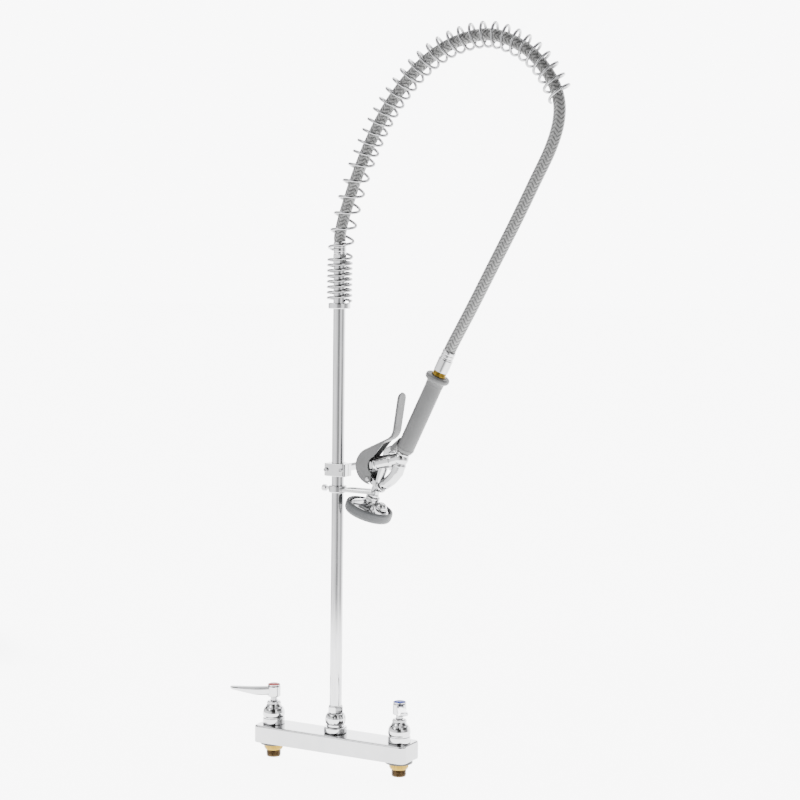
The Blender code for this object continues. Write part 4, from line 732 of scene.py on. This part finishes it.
def spray_handle():
    place = grip_place()
    lathe("grip_sleeve_fine", [(7.3, 118.0), (15.2, 118.0, 0.8), (17.0, 116.4, 1.5), (17.0, 112.2, 1.5),
                               (15.4, 110.4, 0.9), (12.6, 109.0, 1.2), (11.8, 102.0, 6.0), (12.0, 80.0, 8.0),
                               (12.0, 30.0, 8.0), (11.9, 5.0, 2.0), (10.4, 0.6, 1.2),
                               (7.3, 0.0)], GRIP, "spray",
          place, ["grip_sleeve"], 0.8, True, 96)
    lathe("grip_foot_bead", [(11.6, 6.6), (12.15, 6.2), (12.15, 5.2), (11.6, 4.8)], GRIP, "spray", place, (),
          0.3, True, 96)
    lathe("grip_neck_bead", [(11.6, 104.6), (12.2, 104.2), (12.2, 103.0), (11.6, 102.6)], GRIP, "spray",
          place, (), 0.3, True, 96)
    threaded("hose_coupling_fine", 9.4, 0.5, 1.3, 118.3, 124.0, 5.0, BRASS, "spray", place,
             ["hose_coupling"])
    lathe("coupling_rim", [(9.2, 118.6), (10.0, 118.6), (10.0, 120.2), (9.2, 120.6)], BRASS, "spray", place,
          (), 0.3, True, 64)
    lathe("lower_ferrule_fine", [(5.0, 124.3), (9.4, 124.3, 0.4), (10.0, 125.0, 0.4), (10.0, 142.6, 0.5),
                                 (9.3, 143.4, 0.3), (9.3, 145.0, 0.3), (8.9, 145.5, 0.2), (8.9, 146.3, 0.2),
                                 (9.3, 146.8, 0.3), (9.3, 149.5, 0.3), (8.9, 150.0, 0.2), (8.9, 150.8, 0.2),
                                 (9.3, 151.3, 0.3), (9.3, 154.3, 0.4), (8.5, 155.5, 0.5), (5.0, 155.5)],
          CHROME, "spray", place, ["lower_hose_ferrule"], 0.3, True, 80)
    foot = Vector(GRIP_FOOT)
    axis = Vector((math.sin(math.radians(GRIP_LEAN)), math.cos(math.radians(GRIP_LEAN))))
    left = Vector((-axis.y, axis.x))
    corners = [(12.2, 16.0, 0.5), (12.2, -5.0, 0.8), (16.3, -6.5, 1.6), (18.8, -4.0, 2.0), (18.3, 1.0, 2.0),
               (13.8, 12.0, 2.5)]
    outline = [tuple(foot + axis * up + left * out)
               for out, up in rounded([(o, u, f) for o, u, f in corners], 1.0, True)]
    prism("lever_stop_fine", outline, 12.0, 1.6, DARK, "spray", sidewise(), ["lever_stop"], 4)


# ================================================================ squeeze valve
BALL = (99.248, 422.797)
BARREL_LEAN = 75.0
HEAD = (50.0, 349.0)
HEAD_LEAN = 20.0
PIVOT = (53.0, 392.5)


def squeeze_valve():
    barrel = lean(*BALL, BARREL_LEAN)
    lathe("valve_barrel", [(0, 1.3), (9.0, 1.3), (9.6, -2.0, 3.0), (9.1, -9.0, 4.0), (9.1, -14.0, 2.0),
                           (9.9, -16.0, 0.8), (9.9, -35.0, 0.8), (9.1, -36.2, 0.4), (9.1, -37.4, 0.4),
                           (9.9, -38.4, 0.5), (9.9, -41.0, 0.5), (0, -41.5)], CAST, "spray", barrel,
          ["valve_body"], 0.8, False, 80)
    ball = [(10.5 * math.sin(math.radians(a)), 10.5 * math.cos(math.radians(a))) for a in range(0, 181, 9)]
    ball[0], ball[-1] = (0, 10.5), (0, -10.5)
    lathe("valve_ball", ball, CAST, "spray", lean(*BALL, GRIP_LEAN), (), 0, False, 72)
    lathe("valve_spigot", [(0, 20.0), (4.5, 20.0), (4.5, -0.4), (8.4, -0.4, 0.6), (9.2, -1.4, 0.6),
                           (9.2, -3.2, 0.5),
                           (8.0, -4.6, 0.6), (8.2, -9.0), (0, -9.0)], CHROME, "spray", grip_place(), (), 0.4)
    valve_elbow()
    head = lean(*HEAD, HEAD_LEAN)
    lathe("valve_neck", [(0, 72.0), (7.4, 72.0, 2.0), (7.0, 58.0, 6.0), (6.1, 46.0, 5.0), (6.0, 32.0, 4.0),
                         (6.7, 24.0, 1.0), (7.4, 23.0, 0.5), (7.4, 20.4, 0.4), (0, 20.4)], CAST, "spray",
          head, (), 0.8)
    inside = step_along(HEAD, HEAD_LEAN, 39.3)
    lug = [(inside[0], inside[1] + 4.2)] + arc(PIVOT, 4.2, 100, 255, 20) + [(inside[0], inside[1] - 6.3)]
    prism("pivot_lug", lug, 13.0, 0.8, CAST, "spray", sidewise())
    hex_nut("valve_bonnet_fine", 16.0, -49.8, -41.8, 3.0, CHROME, "spray", barrel, ["valve_bonnet"])
    lathe("packing_nut_fine", [(3.0, -50.1), (6.0, -50.1), (6.0, -53.8, 0.5), (5.2, -54.6, 0.3),
                               (3.0, -54.6)],
          CHROME, "spray", barrel, ["packing_nut"], 0.3, True, 64,
          lambda turn, radius, height: radius - (0.25 if radius > 5 and math.sin(turn * 24) > 0 else 0.0))
    lathe("valve_stem_fine", [(0, -14.4), (2.5, -14.4), (2.5, -56.6, 0.2), (2.2, -57.0, 0.2),
                              (2.2, -57.8, 0.2),
                              (2.5, -58.2, 0.2), (2.5, -62.6, 0.8), (0, -64.0, 0.2)], STEEL, "spray_stem",
          barrel, ["valve_stem"], 0.3, False, 32)
    lathe("pivot_pin_fine", [(0, 12.6), (2.0, 12.6), (2.9, 12.0), (2.9, 11.3), (1.9, 11.3), (1.9, -11.3),
                             (2.9, -11.3),
                             (2.9, -12.0), (2.0, -12.6), (0, -12.6)], STEEL, "spray", sidewise(*PIVOT),
          ["lever_pivot_pin"], 0.25, False, 32)


ELBOW = [(98.6, 421.0, 8.4), (96.6, 411.5, 8.6), (92.8, 402.8, 8.4), (86.8, 395.0, 8.2), (79.5, 388.9, 8.0),
         (71.5, 384.2, 7.6), (65.5, 381.0, 6.9), (61.0, 378.6, 6.0)]


def valve_elbow():
    """Cast elbow from the ball round to the neck, with a bead at each end."""
    dense = even_route([(x, z) for x, z, radius in ELBOW], 2.0)[0]
    sizes = [radius for x, z, radius in ELBOW]
    sections = []
    for i, centre in enumerate(dense):
        share = i / (len(dense) - 1) * (len(sizes) - 1)
        k = min(int(share), len(sizes) - 2)
        radius = sizes[k] + (sizes[k + 1] - sizes[k]) * (share - k)
        for at in (0.30, 0.74):
            radius += 0.75 * math.exp(-((i / (len(dense) - 1) - at) / 0.035) ** 2)
        along = (dense[min(i + 1, len(dense) - 1)] - dense[max(i - 1, 0)]).normalized()
        sections.append([(centre.x + along.y * radius * math.cos(math.tau * n / 48),
                          min(radius, 8.4) * math.sin(math.tau * n / 48),
                          centre.y - along.x * radius * math.cos(math.tau * n / 48)) for n in range(48)])
    loft("valve_elbow", sections, CAST, "spray", None, (), 60)
    for name, index in (("high", int(len(dense) * 0.16)), ("low", int(len(dense) * 0.86))):
        here = dense[index]
        along = (dense[index + 1] - dense[index - 1]).normalized()
        lathe(f"elbow_ring_{name}", [(7.4, -1.6), (8.7, -1.6), (9.1, -0.8), (9.1, 0.8), (8.7, 1.6),
                                     (7.4, 1.6)],
              CHROME, "spray", facing(here.x, 0, here.y, (along.x, 0, along.y)), (), 0.4, True)


# ================================================================ spray head
def spray_head():
    place = lean(*HEAD, HEAD_LEAN)
    lathe("head_shell_fine", [(6.0, 20.0), (9.2, 20.0, 0.5), (10.0, 19.0, 0.6), (10.0, 17.2, 0.3),
                              (9.5, 16.8, 0.2),
                              (9.5, 15.8, 0.2), (10.0, 15.4, 0.3), (10.0, 13.6, 1.0), (13.6, 10.0, 3.0),
                              (23.6, 6.2, 4.0), (28.7, 3.0, 2.5), (28.7, -5.0), (26.9, -5.0),
                              (26.9, 1.2, 1.0),
                              (12.0, 6.4), (3.5, 9.5), (3.5, 11.5), (6.0, 11.5)], CHROME, "spray", place,
          ["spray_head_shell"], 0.4, True, 112)
    boss = place @ Matrix.Translation((16.6 * MM, 0, 7.2 * MM))
    lathe("head_boss", [(0, 10.2), (3.5, 10.0, 1.5), (6.6, 8.0, 2.0), (7.8, 4.6, 1.5), (7.9, 0)], CHROME,
          "spray", boss, (), 0.5)
    lathe("head_boss_ring", [(7.8, 3.0), (8.7, 2.8), (8.9, 1.4), (8.7, -1.0), (7.8, -1.0)], CHROME, "spray",
          boss, (), 0.3, True)
    lathe("spray_face_fine", [(0, -1.6), (26.5, -1.6), (26.5, -4.5, 0.6), (22.0, -5.4, 1.5),
                                     (16.0, -4.6, 1.0),
                                     (6.0, -4.4, 1.0), (4.6, -5.6, 0.6), (0, -5.6)], DARK, "spray", place,
                 ["spray_face"], 0.4, False, 96)
    for i in range(8):
        turn = math.tau * (i + 0.15) / 8
        spot = place @ Matrix.Translation((15.9 * MM * math.cos(turn), 15.9 * MM * math.sin(turn), 0))
        lathe(f"spray_jet_{i}", [(0.9, -3.6), (1.9, -4.2), (1.9, -5.3), (1.3, -5.9), (0.9, -5.3)], STEEL,
              "spray", spot, (), 0.2, True, 24)
    ring = [(29.0, 4.6, 0.8), (30.2, 6.4, 1.0), (32.2, 6.0, 1.2), (33.4, 3.6, 1.5), (33.5, -1.0, 3.0),
            (33.3, -5.0, 1.5),
            (31.4, -8.0, 1.2), (30.0, -8.5, 0.8), (29.0, -6.6, 0.8)]
    lathe("bumper_ring_fine", ring, BUMPER, "spray", place, ["bumper_ring"], 0.8, True, 120)
    lathe("bumper_groove_bead", [(33.2, 0.9), (33.5, 0.5), (33.5, -0.5),
                                 (33.2, -0.9)], BUMPER, "spray", place,
          (), 0.2, True, 120)


# ================================================================ squeeze lever
CURL = (59.5, 410.0)
ARM_RISE = 25.7
PADDLE_RISE = 81.5


def lever_line():
    """Middle line of the lever's wall, dense: round the curl, up the arm, up the paddle."""
    path = arc(CURL, 24.4, 230, 90 + ARM_RISE, 40)
    arm = Vector((math.cos(math.radians(ARM_RISE)), math.sin(math.radians(ARM_RISE))))
    paddle = Vector((math.cos(math.radians(PADDLE_RISE)), math.sin(math.radians(PADDLE_RISE))))
    corner = Vector(path[-1]) + arm * 47
    trim = 18 * math.tan(math.radians((PADDLE_RISE - ARM_RISE) / 2))
    begin = corner - arm * trim
    start = Vector(path[-1])
    path += [tuple(start.lerp(begin, k / 10)) for k in range(1, 10)]
    centre = begin + Vector((-arm.y, arm.x)) * 18
    path += arc(centre, 18, ARM_RISE - 90, PADDLE_RISE - 90, 16)
    leave = Vector(path[-1])
    end = corner + paddle * 61
    path += [tuple(leave.lerp(end, k / 24)) for k in range(1, 25)]
    return [Vector(p) for p in path]


def squeeze_lever():
    line = lever_line()
    lengths = [0.0]
    for a, b in zip(line, line[1:]):
        lengths.append(lengths[-1] + (b - a).length)
    total = lengths[-1]
    sections = []
    for i, point in enumerate(line):
        along = (line[min(i + 1, len(line) - 1)] - line[max(i - 1, 0)]).normalized()
        side = Vector((-along.y, along.x))
        left = total - lengths[i]
        ease = math.sqrt(max(0.0, 1 - (1 - min(1.0, left / 9.0)) ** 2))
        begin = min(1.0, lengths[i] / 2.0)
        wide = 22.0 * max(0.12, ease) * (0.9 + 0.1 * begin)
        thick = 3.2 * max(0.35, min(1.0, ease * 1.3)) * (0.8 + 0.2 * begin)
        section = []
        for k in range(36):
            turn = math.tau * k / 36
            c, s = math.cos(turn), math.sin(turn)
            across = math.copysign(abs(c) ** 0.35, c) * wide / 2
            out = math.copysign(abs(s) ** 0.55, s) * thick / 2
            crown = 0.0 if lengths[i] < 90 else 0.35 * (1 - (across / 11) ** 2)
            spot = point + side * (out + crown)
            section.append((spot.x, -across, spot.y))
        sections.append(section)
    loft("squeeze_lever_fine", sections, GRIP, "spray_lever", None, ["squeeze_lever"], 55)
    arm = Vector((math.cos(math.radians(ARM_RISE)), math.sin(math.radians(ARM_RISE))))
    outer = arc(CURL, 25.2, 262, 90 + ARM_RISE, 40)
    far = Vector(outer[-1]) + arm * 37.6
    inner = arc((66, 411), 13, 112, 232, 24)
    foot = arc(PIVOT, 5, -40, -85, 8)
    outline = outer + [tuple(far)] + inner + foot
    for name, side in (("near", -1), ("far", 1)):
        place = Matrix.Translation((0, side * 9.75 * MM, 0)) @ sidewise()
        prism(f"lever_cheek_{name}", outline, 2.5, 0.7, GRIP, "spray_lever", place, (), 3)
        rim = Matrix.Translation((0, side * 10.9 * MM, 0)) @ sidewise(*PIVOT)
        lathe(f"lever_pivot_rim_{name}", [(2.2, 0.35), (3.6, 0.35), (4.4, -0.2), (2.2, -0.2)], GRIP,
              "spray_lever", rim, (), 0.2, True, 48)


# ================================================================ finger hook
def finger_hook():
    lathe("hook_ring_fine", [(8.85, 369.2), (11.6, 369.2), (12.5, 370.1, 0.7), (12.5, 378.3, 0.7),
                             (11.6, 379.2),
                             (8.85, 379.2)], CHROME, "riser", None, ["finger_hook"], 0.5, True, 96)
    nose, slot, root = 3.0, 8.5, 10.25
    outline = [(root, -slot), (13.5, -12.9), (17.0, -14.4)] + arc((61, -11.5), nose, -90, 90, 16)
    outline += arc((22.6, 0), slot, -90, -270, 28)
    outline += arc((61, 11.5), nose, -90, 90, 16) + [(17.0, 14.4), (13.5, 12.9), (root, slot)]
    prism("hook_fork", outline, 4.4, 1.2, CHROME, "riser", lean(0, 374.2, 0), (), 4)
    lathe("hook_screw_fine", [(0, 23.0), (1.5, 23.0, 0.1), (1.5, 24.0, 0.2), (3.8, 24.0), (4.5, 23.2),
                              (4.5, 18.0),
                              (2.5, 18.0), (2.5, 9.0), (0, 9.0)], CHROME, "riser",
          facing(0, 0, 374.2, (-1, 0, 0)), ["hook_screw"], 0.25, False, 96,
          lambda turn, radius, height: radius - (0.22 if radius > 4.2 and math.sin(turn * 24) > 0 else 0))


# ================================================================ wall bracket
def wall_bracket():
    body = "wall_bracket"
    for name, side, node in (("front", -1, "bracket_clamp_front"), ("rear", 1, "bracket_clamp_rear")):
        bore = [(x, y) for x, y in arc((0, 0), 8.85, 176, 4, 24) if y > 0.6]
        outline = [(-16.5, 0.6)] + bore + [(16.5, 0.6)]
        outline += arc((12.5, 7.5), 4, 0, 90, 8) + arc((-12.5, 7.5), 4, 90, 180, 8)
        if side < 0:
            outline = [(x, -y) for x, y in reversed(outline)]
        prism(f"clamp_{name}_fine", outline, 18.0, 1.1, CHROME, body, lean(0, 401, 0), [node], 3)
    back = facing(0, 0, 401, (0, 1, 0))
    lathe("rod_boss", [(5.6, 10.6), (9.4, 10.6), (8.6, 12.4, 1.5), (8.5, 19.6, 0.6), (7.8, 20.5, 0.5),
                       (5.6, 20.5)],
          CHROME, body, back, (), 0.4, True)
    lathe("bracket_rod_fine", [(0, 12.8), (5.5, 12.8), (5.5, 60, 0), (5.5, 110, 0), (5.5, 159.0),
                               (0, 159.0)], TUBE,
          body, back, ["bracket_rod"], 0.3, False, 64)
    lathe("wall_flange_fine", [(0, 165.0), (19.5, 165.0, 0.3), (19.5, 160.8, 1.0), (17.6, 159.2, 1.0),
                               (12.4, 158.8, 2.0),
                               (9.8, 157.8, 1.2), (8.9, 152.0, 0.8), (8.0, 151.0, 0.5), (5.8, 151.0),
                               (5.8, 159.3),
                               (0, 159.3)], CHROME, body, back, ["wall_flange"], 0.4, False, 96)
    lathe("rod_grub_screw", [(0, 7.6), (1.2, 7.6, 0.1), (1.2, 8.7, 0.1), (1.9, 8.7, 0.15), (1.9, 5.6),
                             (0, 5.6)], STEEL,
          body, facing(0, 16.2, 401, (0, 0, 1)), (), 0.15, False, 24, None, 30)
    for label, x in (("left", -12.0), ("right", 12.0)):
        place = facing(x, 0, 401, (0, -1, 0))
        lathe(f"clamp_screw_{label}_fine", [(0, 13.0), (1.35, 13.0, 0.1), (1.35, 14.2, 0.1), (2.5, 14.2, 0.4),
                                            (3.2, 13.5, 0.4), (3.2, 11.8), (1.75, 11.8), (1.75, -10.4),
                                            (0, -10.4)],
              STEEL, body, place, [f"clamp_screw_{label}"], 0.3, False, 36)
    for i in range(3):
        turn = math.radians(90 + 120 * i)
        place = facing(14.2 * math.cos(turn), 0, 401 + 14.2 * math.sin(turn), (0, -1, 0))
        lathe(f"flange_screw_{i}", [(0, -158.4), (0.9, -158.4, 0.1), (1.0, -157.5, 0.1), (2.4, -157.7, 0.6),
                                    (3.6, -159.2, 0.4), (0, -160.5)], STEEL, body, place, (), 0.3, False, 32)


# ================================================================ studio
def emitter(name, place, target, size, power, tint=(1, 1, 1)):
    data = bpy.data.lights.new(name, "AREA")
    data.shape = "RECTANGLE"
    data.size, data.size_y = size
    data.energy = power
    data.color = tint
    made = bpy.data.objects.new(name, data)
    bpy.context.scene.collection.objects.link(made)
    turn = (Vector(target) - Vector(place)).to_track_quat("-Z", "Y").to_matrix().to_4x4()
    made.matrix_world = Matrix.Translation(place) @ turn
    return made


def card(name, place, target, size, material):
    """Flat square panel of this size at a place, its face turned towards a target point."""
    build = bmesh.new()
    w, h = size[0] / 2, size[1] / 2
    build.faces.new([build.verts.new(p) for p in ((-w, -h, 0), (w, -h, 0), (w, h, 0), (-w, h, 0))])
    mesh = bpy.data.meshes.new(name)
    build.to_mesh(mesh)
    build.free()
    mesh.materials.append(material)
    made = bpy.data.objects.new(name, mesh)
    bpy.context.scene.collection.objects.link(made)
    turn = (Vector(target) - Vector(place)).to_track_quat("Z", "Y").to_matrix().to_4x4()
    made.matrix_world = Matrix.Translation(place) @ turn
    return made


def studio():
    floor_material = paper()
    floor = card("floor", (0, 0, -0.0229), (0, 0, 1), (60, 60), floor_material)
    emitter("key", (-1.5, -2.4, 2.4), (0.05, 0, 0.5), (1.2, 1.2), 45)
    emitter("fill", (2.6, -1.6, 1.6), (0.05, 0, 0.5), (0.9, 1.8), 16)
    world = bpy.data.worlds.new("studio")
    world.use_nodes = True
    tree = world.node_tree
    way = tree.nodes.new("ShaderNodeTexCoord").outputs["Generated"]
    tree.links.new(room_tone(tree, way, True), tree.nodes["Background"].inputs["Color"])
    tree.nodes["Background"].inputs["Strength"].default_value = BACKDROP
    bpy.context.scene.world = world


BACKDROP = 9.0                 # brightness of the white behind the faucet
FLOOR_GLOW = 7.8
# brightness of the studio all round, by degrees from the photograph's viewpoint to its right
ROOM = [(-180, 1.0), (-146, 1.0), (-134, 0.10), (-122, 0.10), (-110, 0.34), (-70, 0.38), (-34, 0.30),
        (-12, 0.03), (14, 0.015), (24, 0.28), (44, 0.34), (58, 0.12), (86, 0.10), (104, 0.5), (122, 1.0),
        (180, 1.0)]
# and by the sine of the height above the horizon
HEIGHTS = [(-1.0, 1.0), (0.24, 1.0), (0.42, 0.22), (0.58, 0.14), (0.70, 0.8), (1.0, 0.5)]


def paper():
    """Glowing pale floor, dimmed beyond its white disc by the studio's pattern of brightness."""
    n = Nodes("floor_paper")
    cloud = n.noise(3, 4)
    place = n.node("ShaderNodeNewGeometry").outputs["Position"]
    room = room_tone(n.tree, place, False)
    size = n.node("ShaderNodeVectorMath", operation="LENGTH")
    n.link(place, size.inputs[0])
    fade = n.node("ShaderNodeMapRange", interpolation_type="SMOOTHSTEP")
    fade.inputs["From Min"].default_value = 0.75
    fade.inputs["From Max"].default_value = 1.3
    n.link(size.outputs["Value"], fade.inputs["Value"])
    mix = n.node("ShaderNodeMix", data_type="RGBA")
    n.link(fade.outputs["Result"], mix.inputs["Factor"])
    n.link(n.ramp(cloud, (0.3, (0.985, 0.985, 0.985)), (0.7, (1.0, 1.0, 1.0))), mix.inputs["A"])
    n.link(room, mix.inputs["B"])
    n.set(Base_Color=n.ramp(cloud, (0.3, (0.28, 0.28, 0.28)), (0.7, (0.30, 0.30, 0.30))),
          Roughness=n.span(cloud, 0.8, 0.9), Emission_Color=mix.outputs["Result"],
          Emission_Strength=FLOOR_GLOW)
    return n.made


def room_tone(tree, way, with_height):
    """White behind the faucet from the photograph's viewpoint, a dark opening in front, dark sides."""
    link = tree.links.new

    def node(kind, **settings):
        made = tree.nodes.new(kind)
        for key, value in settings.items():
            setattr(made, key, value)
        return made

    def strip(source, stops, low, high):
        fit = node("ShaderNodeMapRange")
        fit.inputs["From Min"].default_value = low
        fit.inputs["From Max"].default_value = high
        link(source, fit.inputs["Value"])
        made = node("ShaderNodeValToRGB")
        made.color_ramp.interpolation = "EASE"
        marks = made.color_ramp.elements
        while len(marks) < len(stops):
            marks.new(0.5)
        for mark, (at, value) in zip(marks, stops):
            mark.position = (at - low) / (high - low)
            mark.color = (value, value, value * 1.005, 1.0)
        link(fit.outputs["Result"], made.inputs["Fac"])
        return made.outputs["Color"]

    azimuth = math.radians(28.558)
    turned = node("ShaderNodeMapping", vector_type="VECTOR")
    turned.inputs["Rotation"].default_value = (0, 0, -azimuth)
    link(way, turned.inputs["Vector"])
    split = node("ShaderNodeSeparateXYZ")
    link(turned.outputs["Vector"], split.inputs["Vector"])
    flip = node("ShaderNodeMath", operation="MULTIPLY")
    flip.inputs[1].default_value = -1.0
    link(split.outputs["Y"], flip.inputs[0])
    angle = node("ShaderNodeMath", operation="ARCTAN2")
    link(split.outputs["X"], angle.inputs[0])
    link(flip.outputs["Value"], angle.inputs[1])
    degrees = node("ShaderNodeMath", operation="MULTIPLY")
    degrees.inputs[1].default_value = 180 / math.pi
    link(angle.outputs["Value"], degrees.inputs[0])
    room = strip(degrees.outputs["Value"], ROOM, -180, 180)
    if not with_height:
        return room
    both = node("ShaderNodeMix", data_type="RGBA", blend_type="MULTIPLY")
    both.inputs["Factor"].default_value = 1.0
    link(room, both.inputs["A"])
    link(strip(split.outputs["Z"], HEIGHTS, -1, 1), both.inputs["B"])
    return both.outputs["Result"]


# ================================================================ the whole faucet
add_camera()
hose()
base_casting()
for side, x in VALVES.items():
    level["drop"] = 0.0
    inlet(side, x)
    level["drop"] = MIDDLE
    valve(side, x)
outlet_and_riser()
level["drop"] = UPPER
overhead_spring()
spring_fittings()
spray_handle()
squeeze_valve()
spray_head()
squeeze_lever()
finger_hook()
wall_bracket()
studio()
